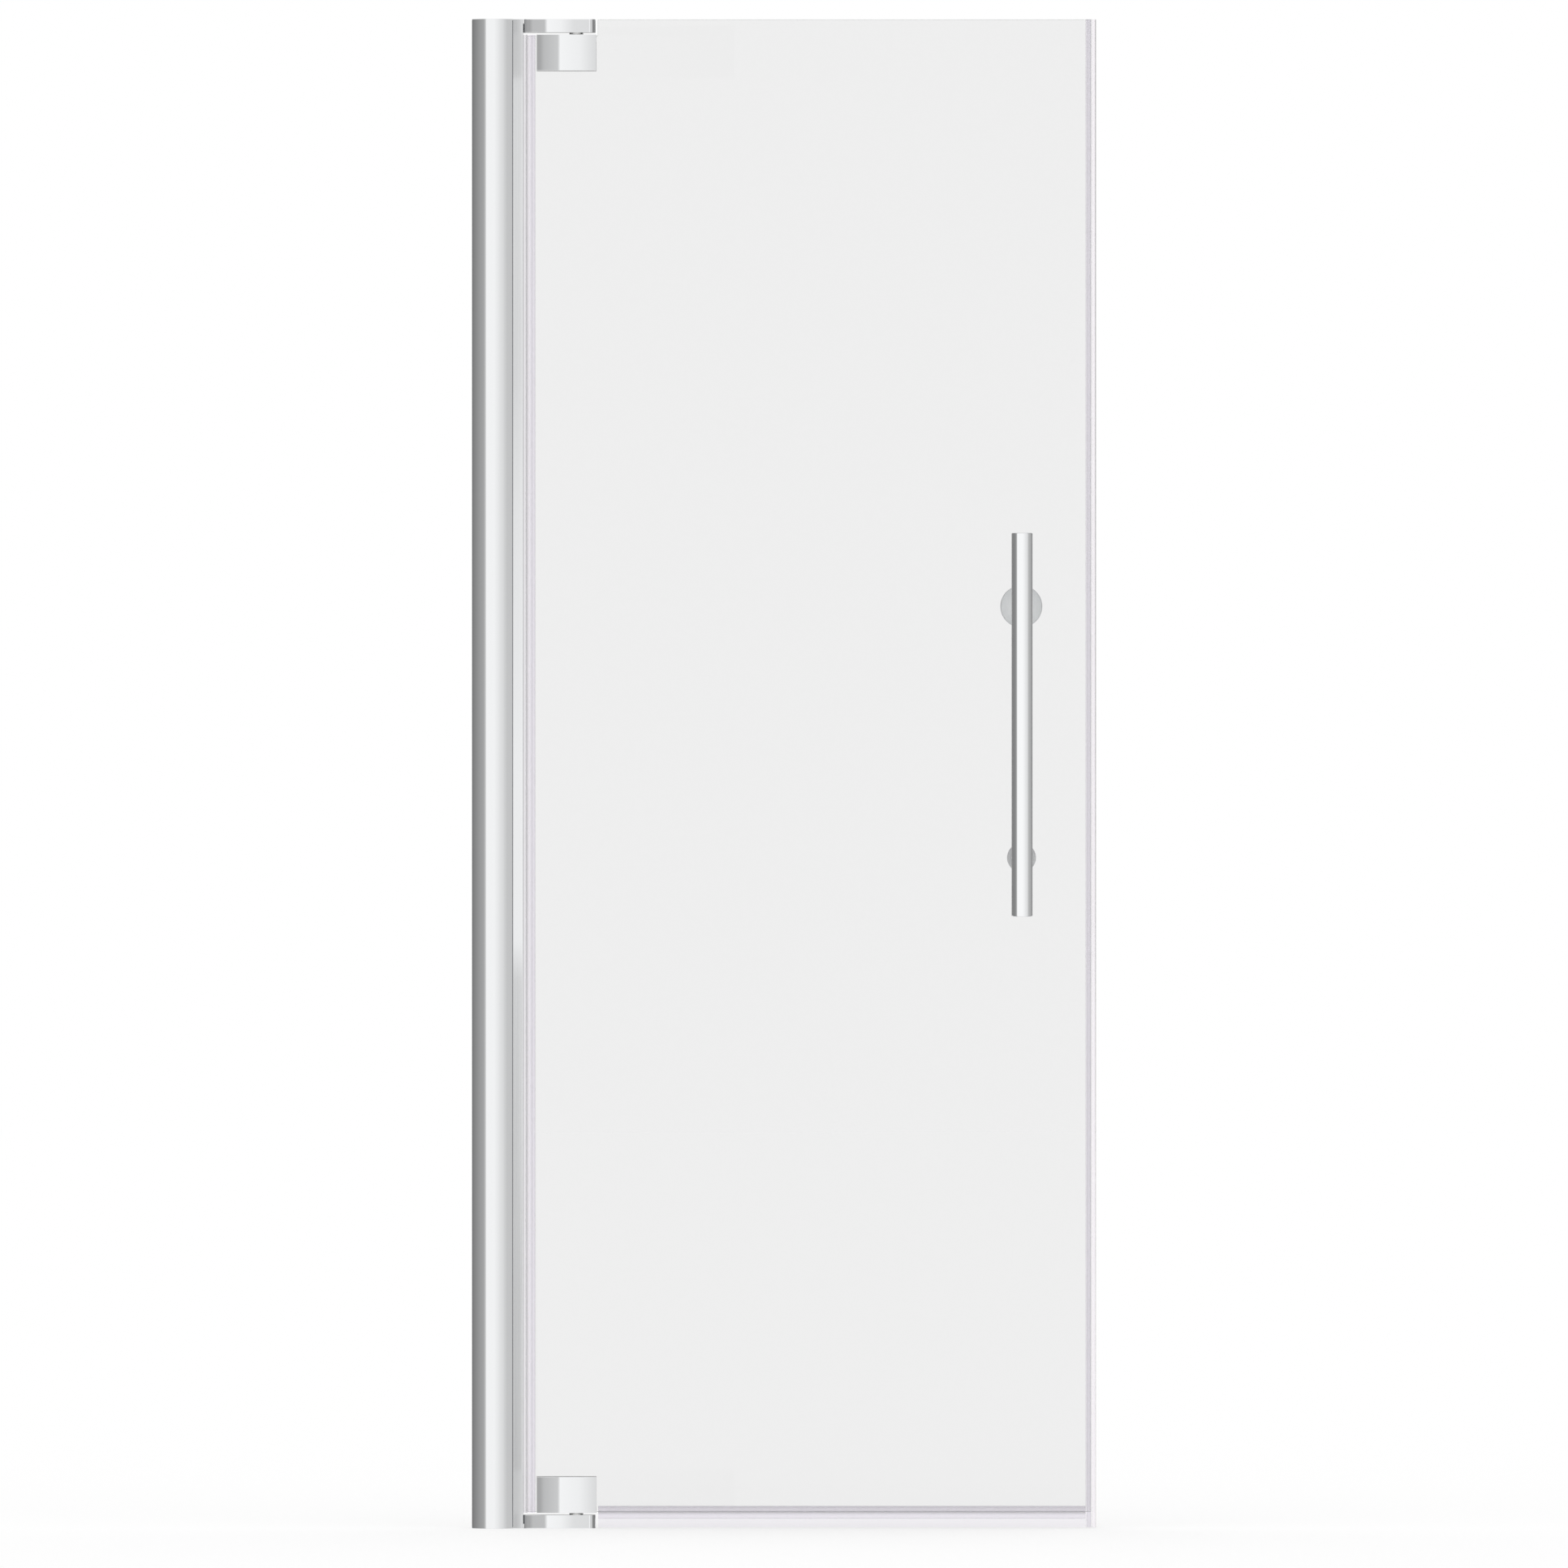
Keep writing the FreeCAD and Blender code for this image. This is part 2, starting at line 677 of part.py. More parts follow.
def make_arm_fasteners():
    arm_screws, lock_screws = [], []
    seat = s.expander_right - s.expander_face
    for end, middle in arm_middles().items():
        for side, offset in (("back", s.arm_screw_offset), ("front", -s.arm_screw_offset)):
            arm_screws.append(cap_screw(
                f"arm_screw_{end}_{side}", s.arm_screw_radius, s.expander_face + s.arm_screw_reach,
                s.arm_screw_head_radius, s.arm_screw_head_length, (seat, offset, middle), FREE_EDGE))
        radius, length = s.lock_screw_radius, s.lock_screw_length
        outline = [
            (ZERO, ZERO), (radius * 0.8, ZERO), (radius, radius * 0.2),
            (radius, length), (ZERO, length),
        ]
        tip = s.pin_radius + s.close_fit * 2
        screw = turned(f"lock_screw_{end}", outline, (s.pivot_x, tip, middle), SHOWER)
        add_hex_socket(screw, radius, length, length * 0.5)
        lock_screws.append(screw)
    group("arm_screws", arm_screws)
    group("pin_lock_screws", lock_screws)


def make_pivot_pin(end):
    # Local Z runs away from the glass, and zero is the arm's face over the clamp.
    pin, collar = s.pin_radius, s.collar_radius
    top = s.arm_height - 0.6
    outline = [
        (ZERO, -s.pin_reach), (pin - 0.8, -s.pin_reach), (pin, -(s.pin_reach - 0.8)),
        (pin, -s.collar_thickness), (collar - 0.3, -s.collar_thickness),
        (collar, -(s.collar_thickness - 0.3)), (collar, ZERO), (pin, ZERO), (pin, top - 0.4),
        (pin - 0.4, top), (ZERO, top),
    ]
    position = (s.pivot_x, ZERO, arm_faces[end])
    body = turned(f"{end}_pivot_pin", outline, position, UP if end == "top" else DOWN)
    add_hex_socket(body, pin * 1.1, top, pin)
    kept(body)


# ---- hinge clamps

def span(end, near, far):
    # Low and high Z of a stretch that starts this far from the clamp's outer edge.
    edge = clamp_edges[end]
    if end == "top":
        return edge - far, edge - near
    return edge + near, edge + far


def clamp_screw_spots(end):
    heights = span(end, s.clamp_screw_near, s.clamp_screw_far)
    return [(x, z) for x in (s.clamp_screw_left, s.clamp_screw_right) for z in heights]


def make_clamp(end, side):
    # side is -1 for the plate that faces the room and 1 for the one in the shower
    label = f"{end}_{'front' if side < 0 else 'back'}_clamp"
    low = span(end, ZERO, s.clamp_height)[0]
    thickness = s.clamp_thickness
    radius = crown_radius(s.clamp_left, s.clamp_right, s.clamp_crown)
    face, edge = clamp_inner * side, (clamp_inner + thickness - s.clamp_crown) * side
    corners = [(s.clamp_left, face), (s.clamp_left, edge), (s.clamp_right, edge), (s.clamp_right, face)]
    body = new_body(label)
    outline = new_sketch(body, "XY_Plane", f"{label}_outline", low)
    draw_loop(outline, corners, {1: (radius, -side)})
    plate = add_pad(body, outline, s.clamp_height, f"{label}_plate")
    crowned = outermost_face(plate.Shape, Vector(0, side, 0))
    add_fillet(body, plate, [crowned], s.clamp_edge_round, f"{label}_edges")
    recess_depth = s.block_half_depth - clamp_inner + s.seal_play
    recess = new_sketch(body, "XZ_Plane", f"{label}_recess", -face)
    half = s.block_half_width + s.seal_play
    z_low, z_high = span(end, as_size(-1), s.block_inset + s.block_height + s.seal_play)
    draw_loop(recess, rectangle(s.pivot_x - half, z_low, s.pivot_x + half, z_high))
    add_pocket(body, recess, recess_depth, f"{label}_recess_cut")
    holes = new_sketch(body, "XZ_Plane", f"{label}_holes", -face)
    for spot in clamp_screw_spots(end):
        draw_circle(holes, spot, s.clamp_screw_radius + s.close_fit)
    depth = s.clamp_screw_reach + 0.5 if side < 0 else thickness
    add_pocket(body, holes, depth, f"{label}_screw_holes")
    if side > 0:
        sink = new_sketch(body, "XZ_Plane", f"{label}_sink", -(clamp_inner + thickness))
        for spot in clamp_screw_spots(end):
            draw_circle(sink, spot, s.clamp_head_radius + s.seal_play)
        add_pocket(body, sink, s.clamp_head_sink, f"{label}_head_sinks")
    kept(body)


def make_clamp_screws():
    seat = clamp_inner + s.clamp_thickness - s.clamp_head_sink
    length = seat + clamp_inner + s.clamp_screw_reach
    screws = []
    for end in ("top", "bottom"):
        for i, (x, z) in enumerate(clamp_screw_spots(end), start=1):
            screws.append(cap_screw(
                f"clamp_screw_{end}_{i}", s.clamp_screw_radius, length,
                s.clamp_head_radius, s.clamp_head_length, (x, seat, z), ROOM))
    group("clamp_screws", screws)


def make_pivot_block(end):
    low, high = span(end, s.block_inset, s.block_inset + s.block_height)
    block = doc.addObject("Part::Box", f"{end}_block_blank")
    block.setExpression("Length", (s.block_half_width * 2).text)
    block.setExpression("Width", (s.block_half_depth * 2).text)
    block.setExpression("Height", s.block_height.text)
    move_to(block, (s.pivot_x - s.block_half_width, -s.block_half_depth, low), UP)
    bore = cylinder(f"{end}_block_bore", s.bush_radius + s.close_fit, high - low + 2,
                    (s.pivot_x, ZERO, low - 1), UP)
    bored = doc.addObject("Part::Cut", f"{end}_pivot_block")
    bored.Label = f"{end}_pivot_block"
    bored.Base = block
    bored.Tool = bore
    kept(bored)


def make_pivot_bush(end):
    # Local Z runs away from the glass, and zero is the clamp's outer edge.
    outline = ring_outline(s.pin_radius + s.running_fit, s.bush_radius,
                           -(s.block_inset + s.block_height), as_size(0.2))
    position = (s.pivot_x, ZERO, clamp_edges[end])
    kept(turned(f"{end}_pivot_bush", outline, position, UP if end == "top" else DOWN))


def notch_path(end):
    # The hinge notch, left to right along the top edge and right to left along the bottom edge.
    edge, inward = glass_edges[end], INWARD[end]
    floor = edge + s.notch_depth * inward
    shoulder = floor - s.notch_radius * inward
    if end == "top":
        first, last, along = s.notch_left, s.notch_right, s.notch_radius
    else:
        first, last, along = s.notch_right, s.notch_left, -s.notch_radius
    return [(first, edge), (first, shoulder), (first + along, floor),
            (last - along, floor), (last, shoulder), (last, edge)]


def notch_arcs(start):
    # The two rounded corners of a notch path whose first corner has this index.
    return {start + 1: (s.notch_radius, 1), start + 3: (s.notch_radius, 1)}


def make_clamp_gaskets(end):
    edge, inset = glass_edges[end], s.gasket_inset
    far = clamp_edges[end] + (s.clamp_height - inset) * INWARD[end]
    outer = [s.clamp_left + inset, s.clamp_right - inset]
    first, last = outer if end == "top" else outer[::-1]
    sheets = []
    for name, start in (("front", s.glass_half + s.gasket_thickness), ("back", -s.glass_half)):
        label = f"{end}_gasket_{name}"
        body = new_body(label)
        sketch = new_sketch(body, "XZ_Plane", f"{label}_outline", start - s.gasket_thickness)
        draw_loop(sketch, [(first, edge), *notch_path(end), (last, edge), (last, far), (first, far)],
                  notch_arcs(1))
        add_pad(body, sketch, s.gasket_thickness, f"{label}_sheet")
        sheets.append(body)
    group(f"{end}_clamp_gaskets", sheets)


# ---- glass and its seals

def make_glass():
    body = new_body("glass_panel")
    outline = new_sketch(body, "XZ_Plane", "glass_outline", -s.glass_half)
    top, bottom, height = glass_edges["top"], glass_edges["bottom"], s.overall_height
    corners = [
        (s.glass_left, top), *notch_path("top"), (s.arm_notch_x, top), (s.arm_notch_x, height),
        (s.glass_right, height), (s.glass_right, bottom), *notch_path("bottom"), (s.glass_left, bottom),
    ]
    draw_loop(outline, corners, {**notch_arcs(1), **notch_arcs(11)})
    sheet = add_pad(body, outline, s.glass_half * 2, "glass_sheet")
    faces = [outermost_face(sheet.Shape, side) for side in (ROOM, SHOWER)]
    arris = body.newObject("PartDesign::Chamfer", "glass_arris")
    arris.Base = (sheet, faces)
    arris.setExpression("Size", s.glass_arris.text)
    doc.recompute()
    holes = new_sketch(body, "XZ_Plane", "glass_handle_holes", -(s.glass_half + 1))
    for height in handle_heights:
        draw_circle(holes, (s.handle_x, height), s.handle_hole_radius)
    add_pocket(body, holes, s.glass_half * 2 + 2, "glass_handle_cut")
    kept(body)


def make_hinge_side_seal():
    # A channel over the glass edge with a tapered fin towards the post.
    body = new_body("hinge_side_seal")
    low, high = clamp_edges["bottom"], clamp_edges["top"]
    leg_end = s.glass_left + s.hinge_seal_leg
    inside = s.glass_left - s.seal_play
    outside = inside - s.seal_base
    sketch = new_sketch(body, "XY_Plane", "hinge_seal_section", low)
    draw_loop(sketch, [
        (leg_end, -seal_outer), (outside, -seal_outer), (outside, -(s.wipe_half * 2)),
        (s.hinge_seal_tip, -s.wipe_half), (s.hinge_seal_tip, s.wipe_half), (outside, s.wipe_half * 2),
        (outside, seal_outer), (leg_end, seal_outer), (leg_end, seal_inner), (inside, seal_inner),
        (inside, -seal_inner), (leg_end, -seal_inner),
    ])
    add_pad(body, sketch, high - low, "hinge_seal_extrusion")
    kept(body)


def make_strike_side_seal():
    # A channel over the glass edge with a hollow bulb that closes against the frame beside it.
    body = new_body("strike_side_seal")
    leg_end = s.glass_right - s.strike_seal_leg
    inside = s.glass_right + s.seal_play
    outside = inside + s.seal_base
    reach = s.strike_seal_tip - outside
    radius = (s.bulb_half * s.bulb_half + reach * reach) / (reach * 2)
    length = s.overall_height - s.seal_floor_gap
    sketch = new_sketch(body, "XY_Plane", "strike_seal_section", s.seal_floor_gap)
    draw_loop(sketch, [
        (leg_end, seal_outer), (outside, seal_outer), (outside, s.bulb_half), (s.strike_seal_tip, ZERO),
        (outside, -s.bulb_half), (outside, -seal_outer), (leg_end, -seal_outer), (leg_end, -seal_inner),
        (inside, -seal_inner), (inside, seal_inner), (leg_end, seal_inner),
    ], {2: (radius, -1), 3: (radius, -1)})
    add_pad(body, sketch, length, "strike_seal_extrusion")
    hollow = new_sketch(body, "XY_Plane", "strike_seal_hollow", s.seal_floor_gap)
    draw_circle(hollow, (s.strike_seal_tip - radius, ZERO), radius - s.bulb_wall)
    add_pocket(body, hollow, length, "strike_seal_bulb")
    kept(body)


def make_bottom_sweep():
    # A channel over the bottom edge with a wipe down to the threshold and a drip rail inside.
    body = new_body("bottom_sweep")
    inside = glass_edges["bottom"] - s.seal_play
    base = inside - s.seal_base
    top = glass_edges["bottom"] + s.sweep_leg
    drip_root = base - 0.2
    sketch = new_sketch(body, "YZ_Plane", "sweep_section", s.sweep_left)
    draw_loop(sketch, [
        (-seal_outer, top), (-seal_outer, base), (-s.wipe_half, base),
        (-s.wipe_tip_half, s.seal_floor_gap), (s.wipe_tip_half, s.seal_floor_gap), (s.wipe_half, base),
        (seal_outer - s.drip_thickness, base), (s.drip_reach - s.drip_thickness, drip_root - s.drip_drop),
        (s.drip_reach, drip_root - s.drip_drop + 0.6), (seal_outer, inside),
        (seal_outer, top), (seal_inner, top), (seal_inner, inside), (-seal_inner, inside),
        (-seal_inner, top),
    ])
    add_pad(body, sketch, s.sweep_right - s.sweep_left, "sweep_extrusion")
    kept(body)


# ---- handle

def make_handle_bar():
    inner = s.bar_radius - s.bar_wall
    length = s.bar_top - s.bar_bottom - s.bar_cap_thickness * 2
    base = (s.handle_x, -s.bar_offset, s.bar_bottom + s.bar_cap_thickness)
    kept(turned("handle_bar", ring_outline(inner, s.bar_radius, ZERO, length), base, UP))
    caps = []
    plug = inner - s.plug_play
    outline = [
        (ZERO, -s.bar_cap_plug), (plug - 0.5, -s.bar_cap_plug), (plug, -(s.bar_cap_plug - 0.5)),
        (plug, ZERO), (s.bar_radius, ZERO), (s.bar_radius, s.bar_cap_thickness - 1),
        (s.bar_radius - 1, s.bar_cap_thickness), (ZERO, s.bar_cap_thickness),
    ]
    for name, height, axis in (("low", s.bar_bottom + s.bar_cap_thickness, DOWN),
                               ("high", s.bar_top - s.bar_cap_thickness, UP)):
        position = (s.handle_x, -s.bar_offset, height)
        caps.append(turned(f"bar_cap_{name}", outline, position, axis, {5: (as_size(1), 1)}))
    group("handle_end_caps", caps)


def make_standoff(name, height):
    # A round post saddled to the bar, with a socket for its hub and a tapped hole underneath.
    start = hub_face + s.standoff_start
    length = s.bar_offset - start
    blank = cylinder(f"{name}_standoff_blank", s.standoff_radius, length, (s.handle_x, -start, height), ROOM)
    saddle = cylinder(f"{name}_standoff_saddle", s.bar_radius, s.bar_radius * 4,
                      (s.handle_x, -s.bar_offset, height - s.bar_radius * 2), UP)
    socket_length = s.hub_length - s.standoff_start + 0.1
    socket = cylinder(f"{name}_standoff_socket", s.hub_radius + s.close_fit, socket_length,
                      (s.handle_x, -start, height), ROOM)
    tapped = cylinder(f"{name}_standoff_tapped", s.set_screw_radius + s.close_fit, s.standoff_radius,
                      (s.handle_x, -(start + socket_length / 2), height), DOWN)
    tools = doc.addObject("Part::MultiFuse", f"{name}_standoff_tools")
    tools.Shapes = [saddle, socket, tapped]
    post = doc.addObject("Part::Cut", f"{name}_standoff")
    post.Base = blank
    post.Tool = tools
    return post


def make_handle_mounts():
    start = hub_face + s.standoff_start
    flange = s.standoff_start - 0.1
    screw_depth = start + (s.hub_length - s.standoff_start + 0.1) / 2
    bore = s.stud_radius + s.close_fit
    hub_outline = [
        (bore, ZERO), (s.hub_flange_radius, ZERO), (s.hub_flange_radius, flange), (s.hub_radius, flange),
        (s.hub_radius, s.hub_length), (bore, s.hub_length),
    ]
    standoffs, hubs, set_screws, gaskets, sleeves = [], [], [], [], []
    for name, height in zip(("lower", "upper"), handle_heights):
        standoffs.append(make_standoff(name, height))
        hubs.append(turned(f"{name}_hub", hub_outline, (s.handle_x, -hub_face, height), ROOM))
        gasket = ring_outline(s.sleeve_radius, s.handle_gasket_radius, ZERO, s.gasket_thickness)
        gaskets.append(turned(f"{name}_outer_gasket", gasket, (s.handle_x, -s.glass_half, height), ROOM))
        sleeve = ring_outline(bore, s.sleeve_radius - s.close_fit, ZERO, s.glass_half * 2)
        sleeves.append(turned(f"{name}_sleeve", sleeve, (s.handle_x, -s.glass_half, height), SHOWER))
        inner_end = s.hub_radius + s.close_fit
        length = s.standoff_radius - inner_end - s.set_screw_inset
        screw = turned(f"{name}_set_screw", ring_outline(ZERO, s.set_screw_radius, ZERO, length),
                       (s.handle_x, -screw_depth, height - inner_end), DOWN)
        add_hex_socket(screw, s.set_screw_radius, length, length * 0.6)
        set_screws.append(screw)
    group("handle_standoffs", standoffs)
    group("handle_hubs", hubs)
    group("handle_set_screws", set_screws)
    group("outer_gaskets", gaskets)
    group("glass_sleeves", sleeves)


def make_handle_studs():
    outer = hub_face + s.hub_length - 1
    ends = {
        "lower": s.glass_half + s.inner_cap_gasket + s.inner_cap_thread,
        "upper": knob_face + s.knob_neck_length + s.knob_thread,
    }
    studs = []
    for (name, inner), height in zip(ends.items(), handle_heights):
        length = outer + inner
        tip = s.stud_radius - 0.8
        outline = [
            (ZERO, ZERO), (tip, ZERO), (s.stud_radius, as_size(0.8)),
            (s.stud_radius, length - 0.8), (tip, length), (ZERO, length),
        ]
        studs.append(turned(f"{name}_stud", outline, (s.handle_x, -outer, height), SHOWER))
    group("handle_studs", studs)


def make_knob():
    height = handle_heights[1]
    bore = s.stud_radius + s.close_fit
    gasket = ring_outline(bore, s.handle_gasket_radius, ZERO, s.knob_gasket_thickness)
    kept(turned("knob_gasket", gasket, (s.handle_x, s.glass_half, height), SHOWER))
    neck_length = s.knob_neck_length
    neck = [
        (bore, ZERO), (s.handle_gasket_radius, ZERO), (s.handle_gasket_radius, as_size(2)),
        (s.knob_waist_radius, neck_length / 2), (s.knob_neck_radius, neck_length), (bore, neck_length),
    ]
    neck_arcs = {2: (neck_length * 1.2, 1), 3: (neck_length * 1.2, 1)}
    kept(turned("knob_neck", neck, (s.handle_x, knob_face, height), SHOWER, neck_arcs))
    rim_low, rim_high = s.knob_cone, s.knob_cone + s.knob_rim
    crown = rim_high + s.knob_dome
    dome_radius = (s.knob_radius * s.knob_radius + s.knob_dome * s.knob_dome) / (s.knob_dome * 2)
    thread = s.knob_thread + 0.5
    head = [
        (bore, ZERO), (s.knob_neck_radius, ZERO), (s.knob_radius - 1, rim_low), (s.knob_radius, rim_low + 1),
        (s.knob_radius, rim_high), (ZERO, crown), (ZERO, thread), (bore, thread),
    ]
    head_arcs = {2: (as_size(1), 1), 4: (dome_radius, 1)}
    position = (s.handle_x, knob_face + neck_length, height)
    kept(turned("knob_head", head, position, SHOWER, head_arcs))


def make_inner_cap():
    height = handle_heights[0]
    bore = s.stud_radius + s.close_fit
    radius, thickness, edge = s.inner_cap_radius, s.inner_cap_thickness, s.inner_cap_round
    gasket = ring_outline(bore, s.handle_gasket_radius, ZERO, s.inner_cap_gasket)
    kept(turned("inner_cap_gasket", gasket, (s.handle_x, s.glass_half, height), SHOWER))
    thread = s.inner_cap_thread + 0.2
    outline = [
        (bore, ZERO), (radius, ZERO), (radius, thickness - edge), (radius - edge, thickness),
        (ZERO, thickness), (ZERO, thread), (bore, thread),
    ]
    position = (s.handle_x, s.glass_half + s.inner_cap_gasket, height)
    kept(turned("inner_cap", outline, position, SHOWER, {2: (edge, 1)}))


make_wall_jamb()
top_plate = s.overall_height - s.cap_thickness
make_jamb_cap("jamb_cap_top", top_plate, top_plate - s.cap_plug_length)
make_jamb_cap("jamb_cap_bottom", ZERO, s.cap_thickness)
make_expander()
make_expander_plug("expander_plug_top", top_plate, top_plate - s.cap_plug_length)
make_expander_plug("expander_plug_bottom", ZERO, s.cap_thickness)
make_adjustment_fasteners()
for end in ("top", "bottom"):
    make_arm(end)
    make_pivot_pin(end)
    make_clamp(end, -1)
    make_clamp(end, 1)
    make_pivot_block(end)
    make_pivot_bush(end)
    make_clamp_gaskets(end)
make_arm_fasteners()
make_clamp_screws()
make_glass()
make_hinge_side_seal()
make_strike_side_seal()
make_bottom_sweep()
make_handle_bar()
make_handle_mounts()
make_handle_studs()
make_knob()
make_inner_cap()

doc.recompute()
for item in doc.Objects:
    if "Invalid" in item.State or "Error" in item.State:
        raise RuntimeError(f"{item.Label} did not recompute: {item.State}")
for item in parts:
    if item.Shape.isNull() or not item.Shape.isValid():
        raise RuntimeError(f"{item.Label} has no valid shape")

os.makedirs("parts", exist_ok=True)
for item in parts:
    item.Shape.exportStep(f"parts/{item.Label}.step")
    box = item.Shape.BoundBox
    print(f"{item.Label}: {len(item.Shape.Solids)} solids, {item.Shape.Volume:.1f} mm3, "
          f"X {box.XMin:.2f} {box.XMax:.2f}, Y {box.YMin:.2f} {box.YMax:.2f}, Z {box.ZMin:.2f} {box.ZMax:.2f}")
print(len(parts), "parts")
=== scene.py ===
# Pivot shower door: finishes, finer pieces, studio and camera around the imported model, in metres.
# X runs from the wall to the free edge, -Y faces the room, and Z is up from the threshold.
import math
import bmesh
import bpy
from mathutils import Matrix, Vector


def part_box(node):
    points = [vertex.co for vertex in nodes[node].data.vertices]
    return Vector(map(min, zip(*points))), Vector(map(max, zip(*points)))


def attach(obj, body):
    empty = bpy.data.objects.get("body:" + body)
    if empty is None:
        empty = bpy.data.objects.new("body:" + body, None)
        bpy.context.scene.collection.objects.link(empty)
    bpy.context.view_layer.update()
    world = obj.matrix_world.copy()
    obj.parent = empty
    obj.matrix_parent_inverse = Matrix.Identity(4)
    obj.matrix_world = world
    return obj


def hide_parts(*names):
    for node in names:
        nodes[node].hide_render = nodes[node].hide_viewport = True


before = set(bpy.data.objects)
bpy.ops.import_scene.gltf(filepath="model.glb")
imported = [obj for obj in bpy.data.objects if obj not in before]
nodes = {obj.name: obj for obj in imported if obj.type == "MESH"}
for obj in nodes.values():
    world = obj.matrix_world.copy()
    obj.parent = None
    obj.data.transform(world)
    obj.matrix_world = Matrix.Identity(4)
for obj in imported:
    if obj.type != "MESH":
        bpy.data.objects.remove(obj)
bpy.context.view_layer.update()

mm = 0.001
print("frame loaded:", len(nodes), "nodes")


# node helpers

def addNode(tree, kind, inputs=None, **settings):
    # settings are the node's own properties; inputs are values, sockets to link, or nodes whose
    # first output is linked
    node = tree.nodes.new(kind)
    for name, value in settings.items():
        setattr(node, name, value)
    for key, value in (inputs or {}).items():
        if isinstance(value, bpy.types.Node):
            value = value.outputs[0]
        if isinstance(value, bpy.types.NodeSocket):
            tree.links.new(value, node.inputs[key])
        else:
            node.inputs[key].default_value = value
    return node


def linearColour(hexText):
    # sRGB hex to the linear colour that shaders read
    channels = [int(hexText[i:i + 2], 16) / 255 for i in (1, 3, 5)]
    linear = [c / 12.92 if c <= 0.04045 else ((c + 0.055) / 1.055) ** 2.4 for c in channels]
    return (*linear, 1.0)


def setStops(ramp, stops, low, high, cast=(0, 0, 0)):
    # stops maps a value between low and high to a grey from 0 to 255, and cast leans it to a hue
    elements = ramp.color_ramp.elements
    last = len(stops) - 1
    for number, (value, grey) in enumerate(stops.items()):
        position = (value - low) / (high - low)
        inner = 0 < number < last
        element = elements.new(position) if inner else elements[0 if number == 0 else -1]
        element.position = position
        shades = [format(min(255, grey + part), "02X") for part in cast]
        element.color = linearColour("#" + "".join(shades))


def rampAlong(tree, place, axis, greys, cast=(0, 0, 0)):
    # a colour that follows one axis; greys gives it by position in millimetres
    along = addNode(tree, "ShaderNodeSeparateXYZ", {0: place}).outputs[axis]
    low, high = min(greys), max(greys)
    position = addNode(tree, "ShaderNodeMapRange", {
        "Value": along, "From Min": low * mm, "From Max": high * mm})
    ramp = addNode(tree, "ShaderNodeValToRGB", {0: position})
    setStops(ramp, greys, low, high, cast)
    return ramp.outputs[0]


def emptyMaterial(name):
    material = bpy.data.materials.new(name)
    material.use_nodes = True
    material.node_tree.nodes.clear()
    return material, material.node_tree


def newMaterial(name, inputs):
    # inputs are the main shader's values by name
    material, tree = emptyMaterial(name)
    shader = addNode(tree, "ShaderNodeBsdfPrincipled", inputs)
    addNode(tree, "ShaderNodeOutputMaterial", {"Surface": shader})
    return material, tree, shader


def objectPattern(tree, stretch=(1, 1, 1)):
    # Object coordinates, squeezed or stretched along an axis
    place = addNode(tree, "ShaderNodeTexCoord").outputs["Object"]
    return addNode(tree, "ShaderNodeMapping", {"Vector": place, "Scale": stretch})


def addRelief(tree, shader, place, spacing, depth, detail):
    # noise that raises the surface by up to depth; it is returned for what else follows it
    noise = addNode(tree, "ShaderNodeTexNoise", {"Vector": place, "Scale": 1 / spacing, "Detail": detail})
    bump = addNode(tree, "ShaderNodeBump", {"Height": noise, "Distance": depth, "Strength": 1.0})
    tree.links.new(bump.outputs[0], shader.inputs["Normal"])
    return noise


# finishes

glassShape = {
    "armNotchX": 152.4,
    "hingeTop": 1809.0,
    "notchLeft": 88.0,
    "notchRight": 145.0,
    "notchDepth": 31.0,
    "notchRound": 8.0,
    "cornerRound": 1.2,
    "roundSteps": 8,
    "arris": 0.5,
    "holeRadius": 8.0,
    "handleX": 666.2,
    "handleHeights": (812.7, 1117.5),
}

# the roughness goes from brightest to dullest over the span of the noise; wipes and die lines are
# drawn coarser than the real ones, so that they show
polishLooks = {
    # bright plating over polished brass: a clear mirror with the slightest orange peel
    "polishedChrome": {
        "colour": "#F9FAFB", "brightest": 0.008, "dullest": 0.025, "span": (0.35, 0.75),
        "wipeSize": 45 * mm, "wipeDetail": 3.0, "reliefSize": 9 * mm, "reliefDepth": 0.0012 * mm,
        "reliefDetail": 1.0, "stretch": (1, 1, 1)},
    # extruded and bright polished: faint die lines run up the profile
    "polishedAluminium": {
        "colour": "#F3F4F5", "brightest": 0.025, "dullest": 0.05, "span": (0.3, 0.7),
        "wipeSize": 0.9 * mm, "wipeDetail": 2.0, "reliefSize": 0.9 * mm, "reliefDepth": 0.0003 * mm,
        "reliefDetail": 2.0, "stretch": (1, 1, 0.004)},
}


def polishedMetal(name):
    look = polishLooks[name]
    material, tree, shader = newMaterial(name, {
        "Base Color": linearColour(look["colour"]), "Metallic": 1.0})
    place = objectPattern(tree, look["stretch"])
    wipe = addNode(tree, "ShaderNodeTexNoise", {
        "Vector": place, "Scale": 1 / look["wipeSize"], "Detail": look["wipeDetail"]})
    dull = addNode(tree, "ShaderNodeMapRange", {
        "Value": wipe, "From Min": look["span"][0], "From Max": look["span"][1],
        "To Min": look["brightest"], "To Max": look["dullest"]})
    tree.links.new(dull.outputs[0], shader.inputs["Roughness"])
    addRelief(tree, shader, place, look["reliefSize"], look["reliefDepth"], look["reliefDetail"])
    return material


glassLook = {
    "colour": "#EEEEEE",
    "index": 1.52,
    "waveLength": 250 * mm,
    "waveDepth": 0.006 * mm,
    "waveStretch": 0.3,
    "edgeColour": "#E9EDEB",
    "edgeRoughness": 0.35,
    "edgeClearness": 0.45,
    "grindSize": 0.8 * mm,
    "grindDepth": 0.01 * mm,
}


